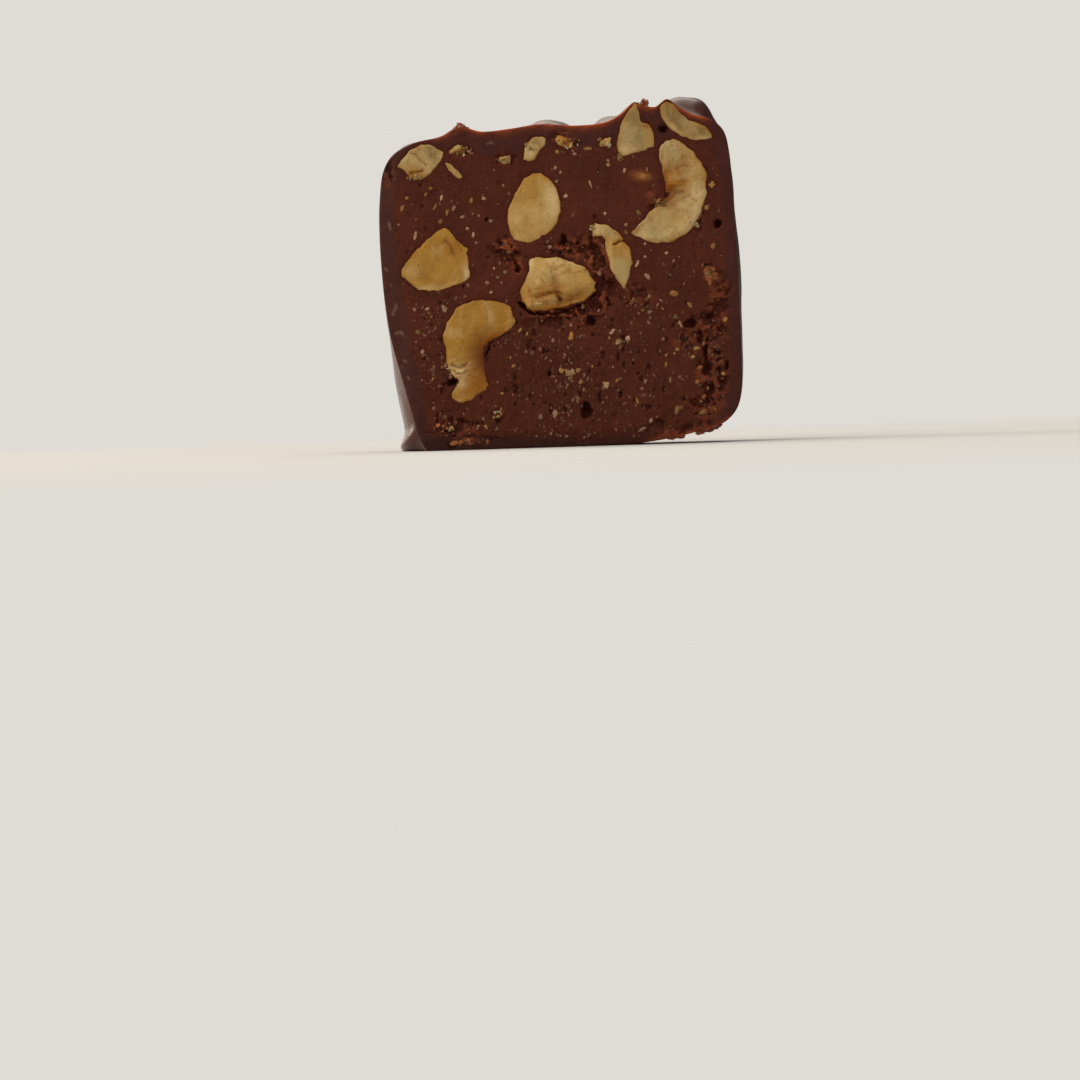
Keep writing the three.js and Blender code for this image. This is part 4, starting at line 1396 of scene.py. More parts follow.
@dataclass(frozen=True)
class Filling:
    """The nut paste behind the cut.

    Its cut face is a square grid pressed into the filling's edge: each point keeps its bearing from the axis,
    and its reach is the edge's reach times its larger coordinate. Its hidden side follows the pocket.
    """

    steps: int = 284
    pocket_rows: int = 5
    last_step: float = 0.999

    def build(self, finish: Material) -> Piece:
        """Makes the filling.

        Args:
            finish: Material of the paste.

        Returns:
            The filling, which replaces its solid.
        """
        side = np.concatenate([[-1], np.linspace(-self.last_step, self.last_step, self.steps - 1), [1]])
        u, v = np.meshgrid(side, side)
        half = np.abs(FILLING_EDGE.dense - AXIS).max(axis=0)
        bearing = np.arctan2(v * half[1], u * half[0])
        spots = polar(bearing, FILLING_EDGE.reach(bearing) * np.maximum(np.abs(u), np.abs(v)), 0.0)[..., ::2]
        cut = CutFace(spots)
        front = standing(spots, -cut.height).reshape(-1, 3)
        number = np.arange(len(front)).reshape(u.shape)
        rim = np.concatenate([number[0, :-1], number[:-1, -1], number[-1, :0:-1], number[:0:-1, 0]])
        back = pocket(bearing.ravel()[rim], self.pocket_rows).reshape(-1, 3)
        loops = np.vstack([rim, len(front) + np.arange(len(back)).reshape(self.pocket_rows, -1)])
        points = np.concatenate([front, back, [[AXIS[0], POCKET_FLOOR, AXIS[1]]]])
        faces = [grid_faces(number), band_faces(loops), fan_faces(loops[-1], len(points) - 1)]
        hidden = np.broadcast_to(Hue.PASTE.linear(), (len(back) + 1, 3))
        tint = np.concatenate([cut.tint.reshape(-1, 3), hidden])
        piece = make_piece("nut_paste", points, faces, tint, [finish])
        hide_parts("filling")
        return piece


@dataclass(frozen=True)
class Coat:
    """The chocolate coat: an outside that turns from the cut outline to a soft box, a cut ring and a pocket.

    Bumps are nuts under the coat and bubbles are small blisters with a pinhole, both as x, y, z, radius and
    height.
    """

    columns: int = 720
    cap_rows: int = 22
    round_rows: int = 20
    wall_rows: int = 52
    ring_rows: int = 18
    pocket_rows: int = 4
    pocket_gap: float = 0.02
    pocket_sink: float = 0.05
    girth_radius: float = 11.0
    flute_pitch: float = 4.7
    flute_depth: float = 0.17
    flute_lean: float = 0.22
    lump_depth: float = 0.25
    top_lump_depth: float = 0.35
    bump_power: float = 2.5
    drip_level: float = 26.2
    drip_height: float = 0.16
    drip_width: float = 0.9
    pinhole: float = 0.32
    skirt_out: float = 0.35
    lip: float = 0.08
    softening: float = 0.4
    bumps: Points = (
        (-0.6, 3.8, 31.8, 2.7, 1.7), (5.5, 3.2, 32, 1.5, 1.3), (8.6, 2.4, 32.2, 1.6, 1.8),
        (13.2, 3.1, 32.4, 2.6, 2.35), (15.6, 4.4, 32, 2, 0.9), (-10.5, 8, 31.4, 2.6, 0.9),
        (-4.6, 11.5, 31.6, 2.4, 1.2), (3.2, 11, 31.8, 2.8, 1), (9.8, 10.6, 32.3, 2.4, 1.5),
        (-14, 4, 30.8, 2, 0.5), (-17.8, 9, 24, 4, 0.1), (18.6, 10, 20, 5, 0.1), (-6, 17.6, 20, 5, 0.45),
        (8, 17.6, 12, 5.5, 0.4), (-16.4, 6, 5, 4.5, 0.25), (18.7, 8, 12, 8, 0.12),
    )
    bubbles: Points = (
        (-17.6, 8, 21, 0.9, 0.26), (-17, 12.5, 11, 0.7, 0.2), (18.6, 12.5, 23, 0.8, 0.24),
        (18.5, 12, 9, 0.9, 0.24), (-9, 17.8, 25, 0.9, 0.26), (-2, 18, 9.5, 0.7, 0.2), (6, 18, 21, 0.8, 0.24),
        (12, 17.4, 14, 0.7, 0.2), (2.5, 18, 27, 0.6, 0.2),
    )

    @cached_property
    def bearings(self) -> Array:
        """Bearings of the columns, at even steps along the edge of the cut."""
        return CUT_EDGE.even_bearings(self.columns)

    @property
    def back_round(self) -> Array:
        """Radius of the back edge at each bearing: large at the sides, less on top and small at the base."""
        up = np.sin(self.bearings)
        at_top = (SIDE_ROUND - TOP_ROUND) * smoothstep(up, 0.45, 0.8)
        return SIDE_ROUND - at_top - (SIDE_ROUND - BASE_ROUND) * smoothstep(-up, 0.68, 0.86)

    def stations(self) -> tuple[Array, ...]:
        """Lays out the rows of the outside, from the middle of the back round its edge and along the wall.

        Returns:
            Used share of the rounding, width, turn to the back and run of the wall for each row.
        """
        cap = np.linspace(0, 1, self.cap_rows + 1)[1:-1]
        angle = np.linspace(np.pi / 2, 0, self.round_rows, endpoint=False)
        wall = 1 - (1 - np.linspace(0, 1, self.wall_rows)) ** 1.35
        inset = np.concatenate([np.ones_like(cap), 1 - np.cos(angle), np.zeros_like(wall)])
        width = np.concatenate([cap, np.ones_like(angle), np.ones_like(wall)])
        turn = np.concatenate([np.ones_like(cap), np.sin(angle), np.zeros_like(wall)])
        run = np.concatenate([np.zeros_like(cap), np.zeros_like(angle), wall])
        return tuple(part[:, None] for part in (inset, width, turn, run))

    @staticmethod
    def directions(points: Array, turn: Array) -> Array:
        """Works out outward directions: the slope of a squared oval, turned to the back by a share.

        Args:
            points: Places on the plain outside.
            turn: Share of each row's turn to the back.

        Returns:
            One direction of length 1 for each place.
        """
        offset = (points[..., ::2] - AXIS) / HALF_BODY
        side = np.sign(offset) * np.abs(offset) ** (BODY_POWER - 1)
        side = side / np.maximum(length(side), TINY)[..., None] * np.sqrt(1 - turn**2)[..., None]
        return standing(side, np.broadcast_to(turn, side.shape[:-1]))

    def relief(self, points: Array, direction: Array) -> Array:
        """Works out the height of nuts under the coat, flutes, lumps, a drip, bubbles and the skirt.

        Args:
            points: Places on the plain outside.
            direction: Outward directions there.

        Returns:
            One height for each place, faded out towards the cut.
        """
        x, y, z = np.moveaxis(points, -1, 0)
        up = direction[..., 2]
        wall = (1 - smoothstep(np.abs(up), 0.35, 0.75)) * smoothstep(y, 1.5, 6.0)
        lift = np.zeros(x.shape)
        for *middle, radius, height in self.bumps:
            lift += height * np.exp(-((length(points - middle) / radius) ** self.bump_power))
        around = np.arctan2(x - AXIS[0], y - DEPTH / 2) * self.girth_radius
        waves = (around + self.flute_lean * z + 1.6 * Pattern.FLUTE_SWAY.at(points)) / self.flute_pitch
        lift += wall * self.flute_depth / 2 * (np.sin(2 * np.pi * waves) - 0.4)
        lift += self.lump_depth / 2 * Pattern.COAT_LUMPS.at(points)
        lift += smoothstep(up, 0.5, 0.9) * self.top_lump_depth * Pattern.TOP_LUMPS.at(points)
        drip_line = self.drip_level + 1.5 * np.sin(around / 4.2) + 0.5 * np.sin(around / 1.7 + 1)
        drip = self.drip_height * np.exp(-(((z - drip_line) / self.drip_width) ** 2))
        stretch = smoothstep(Pattern.DRIP_STRETCHES.at(np.stack([around, 0 * around], axis=-1)), -0.5, 0.5)
        lift += wall * smoothstep(y, 5, 11) * stretch * drip
        for *middle, radius, height in self.bubbles:
            away = length(points - middle) / radius
            lift += height * (np.exp(-(away**2)) - 1.7 * np.exp(-((away / self.pinhole) ** 2)))
        skirt = (1 - smoothstep(z, 0.25, 1.1)) * np.clip(1 - np.abs(up), 0, 1)
        lift += skirt * (self.skirt_out + 0.3 * Pattern.SKIRT_LUMPS.at(points))
        return lift * smoothstep(y, 0, CUT_BLEND)

    @cached_property
    def outside(self) -> Array:
        """Grid of the outside, from the middle of the back to the edge of the cut.

        Each point has a reach and a depth along its bearing, and is then moved outwards by the relief.
        """
        bearings = self.bearings
        inset, width, turn, run = self.stations()
        rounding = self.back_round[None]
        y = self.lip + (DEPTH - self.lip - rounding * (1 - turn)) * (1 - run)
        y = y + BACK_DOME * np.where(turn == 1, 1 - width**2, 0)
        cut, body = CUT_EDGE.reach(bearings)[None], BODY_EDGE.reach(bearings)[None]
        side = cut + (body - cut) * (1 - np.exp(-y / CUT_BLEND))
        near = np.linspace(-self.softening, self.softening, 9)[:, None]
        rounded = BODY_EDGE.reach(bearings[None] + near).mean(axis=0)[None]
        side = side + (rounded - side) * (1 - width**3) * (turn == 1)
        points = polar(bearings[None], (side - inset * rounding) * width, y)
        direction = self.directions(points, turn)
        points = points + direction * self.relief(points, direction)[..., None]
        points[..., 2] = np.maximum(points[..., 2], 0)
        return points

    def cut_ring(self) -> tuple[Array, Array]:
        """Works out the cut through the coat, from its outer edge inwards.

        Returns:
            The grid of points, and its colours.
        """
        outer, inner = CUT_EDGE.reach(self.bearings)[None], FILLING_EDGE.reach(self.bearings)[None]
        share = np.append(np.linspace(0.01, 0.985, self.ring_rows - 1), 1)[:, None]
        spots = polar(self.bearings[None], outer + (inner - outer) * share, 0.0)[..., ::2]
        spots[..., 1] = np.maximum(spots[..., 1], 0.02)
        cut = CutFace(spots)
        from_edge = (outer - inner) * share
        height = cut.height * smoothstep(from_edge, 0.02, 0.25)
        return standing(spots, self.lip * np.exp(-from_edge / 0.06) - height), cut.tint

    @property
    def outside_tint(self) -> Array:
        """Colours of the outside: cloudy brown, with a painted orange glow of light through the thin edges,
        and crumbs along the base.
        """
        points = self.outside
        colour = Hue.COAT_OUTSIDE.linear() * (1 + 0.12 * Pattern.COAT_CLOUDS.at(points))[..., None]
        # Painted glow of light through the thin coat, on the outside just behind the cut.
        glow = 0.45 * CutFace(points[..., ::2]).thin_edge * np.exp(-points[..., 1] / 0.3)
        low_down = 1 - smoothstep(points[..., 2], 0.2, 0.9)
        crumbs = 0.5 * low_down * smoothstep(Pattern.BASE_CRUMBS.at(points), 0.0, 0.6)
        return layered(colour, (Hue.PAINTED_EDGE_GLOW, glow), (Hue.CRUMB_ORANGE, crumbs))

    def build(self, outside_finish: Material, cut_finish: Material) -> Piece:
        """Makes the coat.

        Args:
            outside_finish: Material of the outside.
            cut_finish: Material of the cut and the pocket.

        Returns:
            The coat, which replaces its solid.
        """
        ring, ring_tint = self.cut_ring()
        inner = pocket(self.bearings, self.pocket_rows, self.pocket_gap, self.pocket_sink)
        grid = np.concatenate([self.outside, ring, inner])
        ends = [[AXIS[0], y, AXIS[1]] for y in (DEPTH + BACK_DOME, POCKET_FLOOR + self.pocket_sink)]
        points = np.concatenate([grid.reshape(-1, 3), ends])
        loops = np.arange(grid.shape[0] * self.columns).reshape(-1, self.columns)
        caps = [fan_faces(loops[0], loops.size)[:, ::-1], fan_faces(loops[-1], loops.size + 1)]
        hidden = np.broadcast_to(Hue.COAT_OUTSIDE.linear(), (self.pocket_rows * self.columns + 2, 3))
        tint = np.concatenate([self.outside_tint.reshape(-1, 3), ring_tint.reshape(-1, 3), hidden])
        on_cut = np.arange(len(loops) + 1) >= len(self.outside) - 1
        on_cut[-2] = False  # the fan on the back, which comes after all rows
        piece = make_piece("chocolate_coat", points, [band_faces(loops), np.concatenate(caps)], tint,
                           [outside_finish, cut_finish], np.repeat(on_cut, self.columns))
        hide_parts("coating")
        return piece


# Small bits


@dataclass(frozen=True)
class Scatter:
    """Many small irregular bits in one mesh: balls that are stretched, turned, dented and cut off."""

    name: str
    slot: str
    seed: int
    dents: float = 0.17
    sunk: float = 0.35
    fineness: int = 2
    proud: float = 1.0
    mottle: float = 0.12

    def ball(self) -> tuple[Array, Array]:
        """Makes a ball with few faces.

        Returns:
            Its points and its triangles.
        """
        shape = bmesh.new()
        bmesh.ops.create_icosphere(shape, subdivisions=self.fineness, radius=1.0)
        points = np.array([vertex.co[:] for vertex in shape.verts])
        faces = np.array([[vertex.index for vertex in part.verts] for part in shape.faces])
        shape.free()
        return points, faces

    def build(self, places: Array, sizes: Array, hues: Array, level: Array) -> Piece:
        """Makes the mesh.

        Args:
            places: x, z and turn in radians of each bit.
            sizes: Half length, half width and half thickness of each bit.
            hues: Colour of each bit.
            level: Height of the surface under each bit, towards the viewer.

        Returns:
            The bits as one piece.
        """
        chance = np.random.default_rng(self.seed)
        ball, facets = self.ball()
        count = len(places)
        dents = 1 + chance.normal(0, self.dents, (count, len(ball), 1))
        along, deep, across = np.moveaxis(ball[None] * dents * sizes[:, None, [0, 2, 1]], -1, 0)
        x, z, turn = (column[:, None] for column in places.T)
        y = np.maximum(deep + self.sunk * sizes[:, 2:], -self.proud) - level[:, None]
        points = np.stack([x + along * np.cos(turn) - across * np.sin(turn), y,
                           z + along * np.sin(turn) + across * np.cos(turn)], axis=-1).reshape(-1, 3)
        faces = (facets[None] + np.arange(count)[:, None, None] * len(ball)).reshape(-1, 3)
        shade = np.clip(1 + chance.normal(0, self.mottle, (count, len(ball), 1)), 0.6, 1.4)
        tint = (hues[:, None] * shade).reshape(-1, 3)
        finish = BitFinish(self.name).material
        return make_piece(self.name, points, [faces], tint, [finish], smooth=False)


def drawn_hues(chance: np.random.Generator, count: int, shares: dict[Hue, float]) -> Array:
    """Draws hues by their shares, and returns one colour a row."""
    hues = np.stack([hue.linear() for hue in shares])
    return hues[chance.choice(len(hues), count, p=tuple(shares.values()))]


@dataclass(frozen=True)
class SmallBits:
    """Nut flecks, larger bits of nut, crumbs and flakes of coat on the cut.

    Cream, gold and orange bits are x, z, half length, half width and turn in degrees. Clusters are ovals with
    the number of bits and the share of orange ones, and flakes are x, z, half length and turn in degrees.
    """

    flecks: int = 820
    crumbs: int = 340
    bit_thickness: float = 0.14
    fleck_thickness: float = 0.06
    flake_thickness: float = 0.3
    flake_level: float = -0.2
    cream_bits: Points = (
        (-11.4, 25.6, 0.4, 0.16, 85), (-10.2, 24.5, 0.32, 0.16, 70), (-9.35, 23.6, 0.26, 0.18, 20),
        (-14.2, 21.8, 0.5, 0.18, 75), (1.2, 25.4, 0.26, 0.22, 10), (3.7, 26.5, 0.42, 0.13, 110),
        (7.2, 27.8, 0.3, 0.16, 80), (5.1, 23.5, 0.18, 0.15, 0), (7.2, 22.3, 0.2, 0.16, 40),
        (8.2, 18.3, 0.4, 0.15, 60), (9.3, 13.4, 0.28, 0.24, 10), (5.4, 11.5, 0.36, 0.22, 40),
        (7, 10.8, 0.32, 0.24, 60), (6, 10.4, 0.28, 0.2, 20), (1.1, 7.5, 0.46, 0.38, 30),
        (4.7, 6.15, 0.38, 0.32, 70), (11.2, 6.5, 0.34, 0.14, 85), (9.1, 2.4, 0.26, 0.18, 50),
        (-11.5, 14.35, 0.44, 0.32, 110), (-13.8, 10.1, 0.3, 0.24, 60), (-13.2, 14.4, 0.24, 0.15, 10),
        (-6.3, 3.8, 0.36, 0.28, 30), (-0.6, 3.35, 0.5, 0.26, 75), (-2.05, 3.15, 0.32, 0.22, 80),
        (8.2, 1.55, 0.46, 0.18, 20), (12.4, 12, 0.4, 0.18, 110), (9, 19, 0.17, 0.13, 0),
        (11.2, 19.3, 0.2, 0.15, 20), (-0.6, 20.3, 0.2, 0.17, 0), (4.1, 13.6, 0.32, 0.2, 50),
        (9.4, 15, 0.24, 0.2, 30), (-7.15, 25.4, 0.22, 0.2, 0), (-8.3, 23.9, 0.18, 0.14, 0),
        (-6.5, 23.1, 0.2, 0.15, 30), (-8.9, 22.4, 0.2, 0.16, 0), (-8.3, 21.8, 0.3, 0.17, 60),
        (0.2, 28.3, 0.2, 0.15, 70), (0.7, 27.8, 0.18, 0.14, 20), (0.3, 26.9, 0.2, 0.17, 0),
        (-5.2, 17.9, 0.22, 0.18, 0), (-6.3, 18.3, 0.2, 0.14, 60), (-6, 17.4, 0.18, 0.13, 0),
        (4.5, 27.7, 0.22, 0.14, 80), (2.2, 29.6, 0.24, 0.15, 0), (-8.4, 30.15, 0.42, 0.17, 150),
        (9.2, 17, 0.35, 0.2, 130), (11.9, 18.5, 0.22, 0.13, 60), (-6.7, 15.9, 0.2, 0.13, 40),
    )
    gold_bits: Points = (
        (-8.4, 25.2, 0.3, 0.18, 80), (-13, 26, 0.3, 0.15, 70), (8.5, 23.5, 0.32, 0.18, 120),
        (15.9, 19.9, 0.4, 0.22, 75), (16, 26.1, 0.4, 0.3, 60), (15.4, 23.8, 0.3, 0.24, 30),
        (11.8, 15.2, 0.46, 0.32, 165), (13.4, 14, 0.44, 0.24, 115), (8.6, 13.6, 0.22, 0.17, 0),
        (1.25, 11.2, 0.52, 0.3, 85), (14, 9.6, 0.38, 0.26, 10), (12, 9.5, 0.24, 0.18, 40),
        (1.9, 7.7, 0.32, 0.26, 40), (0.15, 7.75, 0.3, 0.22, 110), (2.1, 6.5, 0.26, 0.18, 30),
        (5.8, 6.6, 0.3, 0.16, 60), (11.8, 3.4, 0.46, 0.3, 80), (16.9, 12.4, 0.3, 0.26, 0),
        (-4.65, 8.4, 0.26, 0.18, 20), (-5.9, 5.6, 0.2, 0.17, 0), (-10.9, 24.1, 0.34, 0.18, 80),
        (10.8, 8, 0.3, 0.13, 80), (14.4, 3.1, 0.4, 0.26, 20), (7.8, 4.4, 0.34, 0.16, 110),
        (16.6, 6.9, 0.24, 0.18, 0), (-9.3, 15.55, 0.2, 0.15, 0), (13.9, 6.2, 0.26, 0.18, 0),
        (-15.4, 24.7, 0.35, 0.18, 75), (-12.1, 24.7, 0.35, 0.15, 60), (-11.6, 23.2, 0.3, 0.22, 50),
        (-14.9, 25.7, 0.22, 0.14, 20), (3.6, 30.1, 0.4, 0.2, 0), (-8.75, 30.7, 0.3, 0.14, 115),
        (-12.5, 26.6, 0.2, 0.13, 0),
    )
    orange_bits: Points = (
        (14.2, 7.6, 0.3, 0.2, 40), (14.9, 5.6, 0.3, 0.22, 100), (15.3, 17.7, 0.34, 0.2, 60),
        (15.9, 17, 0.3, 0.2, 100), (15.5, 16.2, 0.34, 0.16, 80), (-12.5, 2.6, 0.25, 0.18, 30),
        (-10.9, 0.75, 0.45, 0.25, 10), (-9.4, 0.85, 0.4, 0.28, 160),
    )
    clusters: Points = (
        (14.4, 22.4, 0.8, 0.6, 16, 0.1), (-10.6, 8.2, 0.8, 0.7, 16, 0), (-13.9, 27.75, 0.9, 0.2, 16, 0.3),
        (-9.3, 30.3, 1.1, 0.5, 18, 0.3), (1.4, 30.7, 1.3, 0.4, 16, 0.4), (5.4, 30.6, 0.7, 0.4, 8, 0.1),
        (6.8, 29, 0.3, 0.3, 9, 0), (10.6, 24.2, 0.7, 0.6, 14, 0.6), (3.9, 21.9, 0.3, 0.6, 8, 0),
        (-4.8, 29.2, 0.7, 0.35, 10, 0.2), (-2.2, 30.2, 0.5, 0.7, 8, 0), (1.2, 7.5, 1, 0.4, 8, 0.4),
        (4.7, 6.1, 0.4, 0.4, 6, 0.3), (-6.3, 3.6, 0.5, 0.5, 7, 0.3), (11.8, 3.4, 0.4, 0.5, 7, 0.5),
        (8, 14.8, 1.3, 0.8, 12, 0.8), (-11.6, 2.2, 1.3, 0.7, 8, 0.6), (-9.3, 0.85, 2, 0.3, 14, 1),
        (15.5, 17, 0.8, 1, 14, 0.95), (14.9, 4.2, 1, 1, 4, 0.7), (14.9, 9, 1.2, 1.5, 4, 0.6),
    )
    flakes: Points = (
        (-9.75, 32.6, 0.36, 40), (-9.2, 32.85, 0.42, -30), (-8.75, 32.6, 0.3, -15), (9.25, 34.5, 0.34, 110),
        (9.6, 34.4, 0.4, 70), (9.45, 34.75, 0.3, 130), (14.9, 1.3, 0.6, 12), (15.7, 1.55, 0.45, 20),
        (14, 1, 0.4, 8), (12.1, 0.72, 0.5, 6), (11.2, 0.55, 0.35, 10), (-11, 0.9, 0.4, 5),
        (-9.7, 0.7, 0.45, -8), (-8.6, 0.8, 0.3, 14),
    )

    @staticmethod
    def free_places(chance: np.random.Generator, count: int, weight: Callable[[CutFace], Array]) -> Array:
        """Draws places on the filling, clear of nuts and deep hollows, more often where a weight is high.

        Args:
            chance: Source of chance numbers.
            count: Number of places.
            weight: Function of the cut that gives a share from 0 to 1 for each spot.

        Returns:
            x, z and turn of the places.
        """
        bearing = chance.uniform(-np.pi, np.pi, count * 16)
        reach = FILLING_EDGE.reach(bearing) * np.sqrt(chance.uniform(0, 0.97, bearing.shape))
        spots = polar(bearing, reach, 0.0)[..., ::2]
        cut = CutFace(spots)
        keep = (chance.uniform(0, 1, len(spots)) < weight(cut)) & (cut.nut_depth < -0.15) & (cut.hollow < 0.5)
        return np.column_stack([spots, chance.uniform(0, np.pi, len(spots))])[keep][:count]

    @staticmethod
    def thickness(cut: CutFace) -> Array:
        """Returns how thickly flecks lie, as a share: more in the lower half, and in drifts."""
        drifts = smoothstep(cut.pattern(Pattern.FLECK_DRIFTS), -0.5, 0.5)
        return (0.24 + 0.76 * (1 - smoothstep(cut.spots[..., 1], 9, 20))) * (0.25 + 0.75 * drifts)

    @staticmethod
    def looseness(cut: CutFace) -> Array:
        """Returns how thickly crumbs lie, as a share: only where the filling is torn."""
        return smoothstep(cut.torn[0], 0.25, 0.9)

    @staticmethod
    def level(places: Array) -> Array:
        """Returns the height of the paste at places."""
        return CutFace(places[:, :2]).paste_height

    def build_placed(self) -> Piece:
        """Makes the larger bits of nut at their own places, and the clusters of chips by the nuts.

        Returns:
            The bits and chips as one piece.
        """
        chance = np.random.default_rng(5)
        table = np.array(self.cream_bits + self.gold_bits + self.orange_bits)
        places = np.column_stack([table[:, :2], np.radians(table[:, 4])])
        sizes = np.column_stack([table[:, 2:4], np.full(len(table), self.bit_thickness)])
        shares = ((Hue.BIT_CREAM, 0.8, self.cream_bits), (Hue.BIT_GOLD, 0.8, self.gold_bits),
                  (Hue.CRUMB_ORANGE, 1.25, self.orange_bits))
        hues = np.concatenate([np.tile(hue.linear() * part, (len(bits), 1)) for hue, part, bits in shares])
        groups = np.repeat(np.array(self.clusters), np.array(self.clusters)[:, 4].astype(int), axis=0)
        count = len(groups)
        spread = np.clip(chance.normal(0, 0.55, (count, 2)), -1, 1) * groups[:, 2:4]
        chips = np.column_stack([groups[:, :2] + spread, chance.uniform(0, np.pi, count)])
        long = 0.09 + 0.24 * chance.uniform(0, 1, count) ** 2
        chip_sizes = np.column_stack([long, long * chance.uniform(0.4, 0.8, count), long * 0.5])
        chip_hues = drawn_hues(chance, count, {Hue.CREAM: 0.2, Hue.TAN: 0.35, Hue.GOLD: 0.4, Hue.WHITE: 0.05})
        chip_hues[chance.uniform(0, 1, count) < groups[:, 5]] = Hue.CRUMB_ORANGE.linear()
        level = np.concatenate([self.level(places), np.maximum(self.level(chips), 0.0)])
        hues = np.concatenate([hues, chip_hues * 0.72]) * chance.uniform(0.45, 1.1, (len(level), 1))
        places, sizes = np.concatenate([places, chips]), np.concatenate([sizes, chip_sizes])
        return Scatter("nut_bits", "nut", 7, proud=0.06).build(places, sizes, hues, level)

    def build_flecks(self) -> Piece:
        """Makes the fine flecks, which stand nearly upright.

        Returns:
            The flecks as one piece.
        """
        chance = np.random.default_rng(11)
        places = self.free_places(chance, self.flecks, self.thickness)
        count = len(places)
        places[:, 2] = np.pi / 2 + chance.normal(0, 0.6, count)
        long = 0.075 + 0.21 * chance.uniform(0, 1, count) ** 2.5
        wide = long * chance.uniform(0.4, 0.9, count)
        sizes = np.column_stack([long, wide, np.full(count, self.fleck_thickness)])
        hues = drawn_hues(chance, count, {Hue.FLECK_PALE: 0.4, Hue.FLECK_TAN: 0.5, Hue.TAN: 0.1})
        hues = hues * chance.uniform(0.22, 0.66, (count, 1))
        scatter = Scatter("nut_flecks", "nut", 13, sunk=0.1, fineness=1, proud=0.04)
        return scatter.build(places, sizes, hues, self.level(places))

    def build_crumbs(self) -> Piece:
        """Makes the crumbs of paste in the torn places.

        Returns:
            The crumbs as one piece.
        """
        chance = np.random.default_rng(17)
        places = self.free_places(chance, self.crumbs, self.looseness)
        count = len(places)
        long = chance.uniform(0.07, 0.19, count)
        sizes = np.column_stack([long, long * chance.uniform(0.5, 0.9, count), long * 0.6])
        shares = {Hue.CRUMB_BROWN: 0.4, Hue.CRUMB_ORANGE: 0.06, Hue.PASTE: 0.44, Hue.FLECK_TAN: 0.1}
        hues = drawn_hues(chance, count, shares) * chance.uniform(0.45, 1.0, (count, 1))
        scatter = Scatter("paste_crumbs", "filling", 19, dents=0.24, sunk=0.7)
        return scatter.build(places, sizes, hues, self.level(places))

    def build_flakes(self) -> Piece:
        """Makes the flakes of coat on the edge of the cut.

        Returns:
            The flakes as one piece.
        """
        chance = np.random.default_rng(23)
        x, z, long, turn = np.array(self.flakes).T
        places = np.column_stack([x, z, np.radians(turn)])
        sizes = np.column_stack([long * 1.15, long * 0.5, np.full(len(x), self.flake_thickness)])
        hues = Hue.FLAKE.linear() * chance.uniform(0.7, 1.3, (len(x), 1))
        level = np.full(len(x), self.flake_level)
        return Scatter("coat_flakes", "coating", 29, dents=0.24).build(places, sizes, hues, level)


# The studio


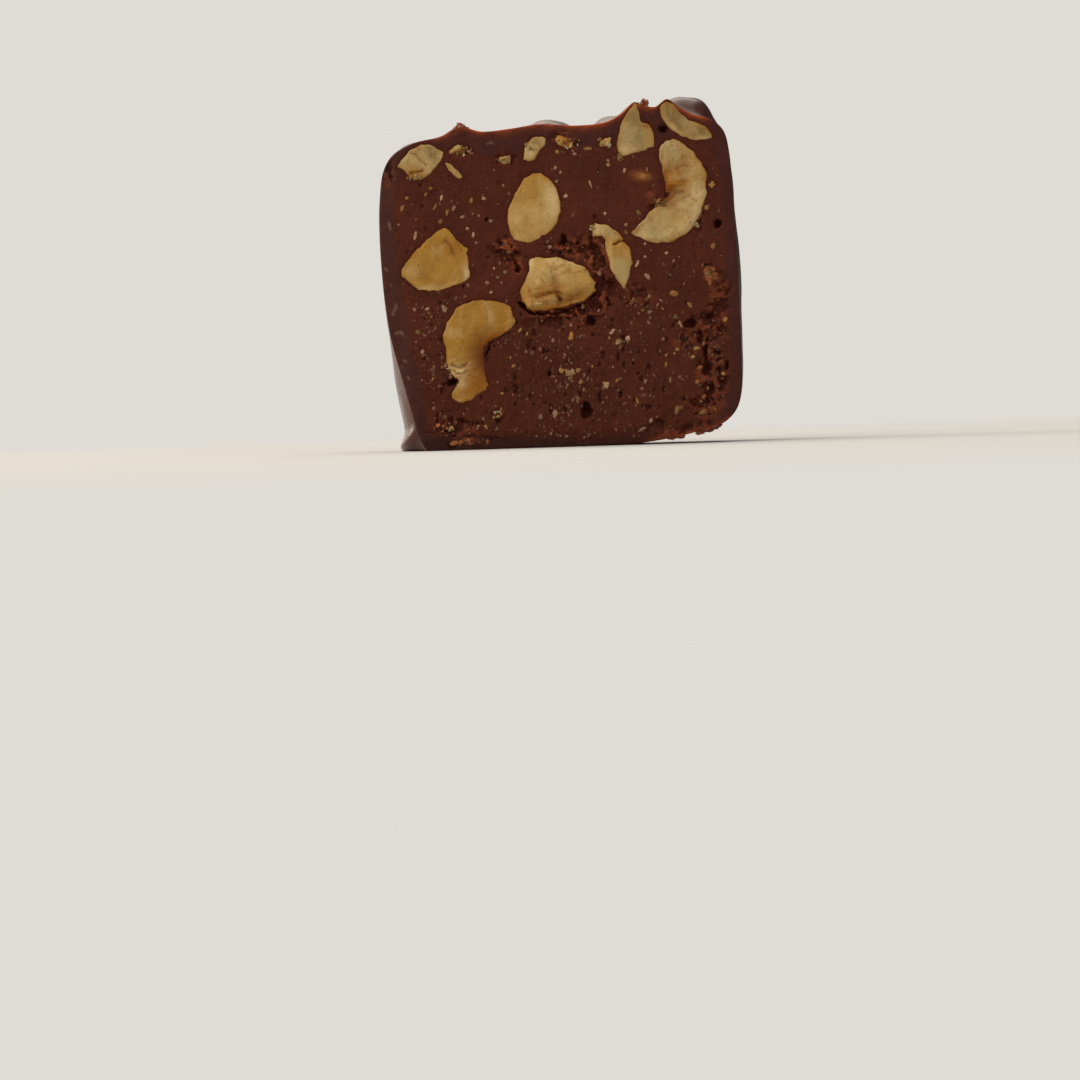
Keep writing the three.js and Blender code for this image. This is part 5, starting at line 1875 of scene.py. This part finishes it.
@dataclass(frozen=True)
class Studio:
    """A plain pale floor and backdrop, soft lights and a camera in front of the cut.

    Lights are name, place in metres, size in metres, power in watts and colour.
    """

    frame_pixels: float = 1080.0
    pixels_per_mm: float = 9.86
    origin_pixel: tuple[float, float] = (562.0, 447.0)
    tilt: float = 1.8
    distance: float = 485.0
    eye_height: float = 5.0
    sensor: float = 36.0
    view_range: tuple[float, float] = (0.01, 50.0)
    floor_radius: float = 3.0
    floor_corners: int = 64
    floor_shade: float = 0.45
    floor_roughness: float = 0.95
    fade_from: float = 0.05
    fade_to: float = 0.25
    ambient_colour: tuple[float, ...] = (1.0, 0.9, 0.78, 1.0)
    ambient_strength: tuple[float, float] = (0.05, 1.5)
    bright_side: Triple = (-0.8, 0.4, 0.45)
    bright_ramp: tuple[float, float] = (0.25, 0.7)
    light_aim: Triple = (0.0, 0.0, 0.016)
    lights: tuple[tuple[str, Triple, float, float, Triple], ...] = (
        ("key_light", (-0.24, -0.4, 0.36), 0.3, 1.66, (1.0, 1.0, 1.0)),
        ("fill_light", (0.3, -0.42, 0.14), 0.3, 0.86, (1.0, 1.0, 1.0)),
        ("window_light", (-0.46, 0.1, 0.14), 0.4, 3.7, (1.0, 0.87, 0.74)),
        ("top_light", (0.0, 0.12, 0.55), 0.7, 4.6, (1.0, 1.0, 1.0)),
    )

    def add_camera(self) -> None:
        """Sets the camera so that the cut's origin, scale and tilt fall where the picture has them."""
        tilt = np.radians(self.tilt)
        right, up = np.array([np.cos(tilt), 0, -np.sin(tilt)]), np.array([np.sin(tilt), 0, np.cos(tilt)])
        off_x = (self.frame_pixels / 2 - self.origin_pixel[0]) / self.pixels_per_mm
        off_z = (self.origin_pixel[1] - self.frame_pixels / 2) / self.pixels_per_mm
        eye = Vector(metres(np.array([AXIS[0], -self.distance, self.eye_height])))
        forward = (Vector(metres(right * off_x + up * off_z)) - eye).normalized()
        across = forward.cross(Vector(up)).normalized()
        data = bpy.data.cameras.new("camera")
        data.sensor_width = self.sensor
        data.lens = self.sensor * self.pixels_per_mm * self.distance / self.frame_pixels
        data.clip_start, data.clip_end = self.view_range
        camera = bpy.data.objects.new("camera", data)
        turn = Matrix((across, across.cross(forward), -forward)).transposed().to_4x4()
        camera.matrix_world = Matrix.Translation(eye) @ turn
        bpy.context.scene.collection.objects.link(camera)
        bpy.context.scene.camera = camera

    def add_lights(self) -> None:
        """Adds the square soft lights, which face the middle of the sweet."""
        for name, at, size, power, colour in self.lights:
            data = bpy.data.lights.new(name, "AREA")
            data.size, data.energy, data.color = size, power, colour
            lamp = bpy.data.objects.new(name, data)
            lamp.location = at
            lamp.rotation_euler = (Vector(self.light_aim) - Vector(at)).to_track_quat("-Z", "Y").to_euler()
            bpy.context.scene.collection.objects.link(lamp)

    def add_floor(self) -> None:
        """Adds a pale floor whose far part fades into the backdrop."""
        steps = np.linspace(0, 2 * np.pi, self.floor_corners, endpoint=False)
        points = np.column_stack([np.cos(steps), np.sin(steps), 0 * steps]) * self.floor_radius
        mesh = bpy.data.meshes.new("floor")
        mesh.from_pydata(points.tolist(), [], [list(range(self.floor_corners))])
        floor = bpy.data.objects.new("floor", mesh)
        bpy.context.scene.collection.objects.link(floor)
        shader = Shader(bpy.data.materials.new("pale_floor"))
        spot = shader.add("TexCoord").outputs["Object"]
        away = shader.add("VectorMath", {0: spot}, operation="LENGTH").outputs["Value"]
        fade = {"Value": away, "From Min": self.fade_from, "From Max": self.fade_to}
        far = shader.add("MapRange", fade, interpolation_type="SMOOTHSTEP").outputs["Result"]
        glow = shader.add("Emission", {"Color": Hue.BACKDROP.opaque()}).outputs["Emission"]
        near = shader.tree.nodes["Principled BSDF"].outputs["BSDF"]
        blend = shader.add("MixShader", {0: far, 1: near, 2: glow}).outputs["Shader"]
        shader.put(shader.tree.nodes["Material Output"].inputs["Surface"], blend)
        shade = (*(Hue.BACKDROP.linear() * self.floor_shade), 1.0)
        finish = shader.give(Base_Color=shade, Roughness=self.floor_roughness, Specular_IOR_Level=0.0)
        mesh.materials.append(finish)

    def add_surroundings(self) -> None:
        """Sets the surroundings: pale to the camera, and as a light dim in front and bright behind."""
        shader = Shader(bpy.data.worlds.new("surroundings"))
        nodes = shader.tree.nodes
        shader.put(nodes["Background"].inputs["Color"], Hue.BACKDROP.opaque())
        spot = shader.add("TexCoord").outputs["Generated"]
        lean = shader.add("VectorMath", {0: spot, 1: self.bright_side}, operation="DOT_PRODUCT")
        strength = shader.ranged(lean.outputs["Value"], *self.bright_ramp, *self.ambient_strength)
        ambient = shader.add("Background", {"Color": self.ambient_colour, "Strength": strength})
        seen = shader.add("LightPath").outputs["Is Camera Ray"]
        inputs = {0: seen, 1: ambient.outputs["Background"], 2: nodes["Background"].outputs["Background"]}
        blend = shader.add("MixShader", inputs).outputs["Shader"]
        shader.put(nodes["World Output"].inputs["Surface"], blend)
        bpy.context.scene.world = shader.owner

    def build(self) -> None:
        """Sets up floor, surroundings, lights and camera."""
        self.add_floor()
        self.add_surroundings()
        self.add_lights()
        self.add_camera()
        bpy.context.scene.view_settings.view_transform = "Standard"


def main() -> None:
    """Builds the pieces in order."""
    logging.basicConfig(level=logging.INFO, format="%(message)s")
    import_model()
    nut_finish = NutFinish().material
    cut_coat = PasteFinish("cut_coat", specks=0.1, pits=0.3).material
    made = [Coat().build(CoatFinish().material, cut_coat),
            Filling().build(PasteFinish().material)]
    made += [nut.build(nut_finish) for nut in NUTS]
    bits = SmallBits()
    made += [bits.build_placed(), bits.build_flecks()]
    made += [bits.build_crumbs(), bits.build_flakes()]
    for piece in made:
        LOG.info("%s: %d faces", piece.name, len(piece.data.polygons))
    Studio().build()


if __name__ == "__main__":
    main()
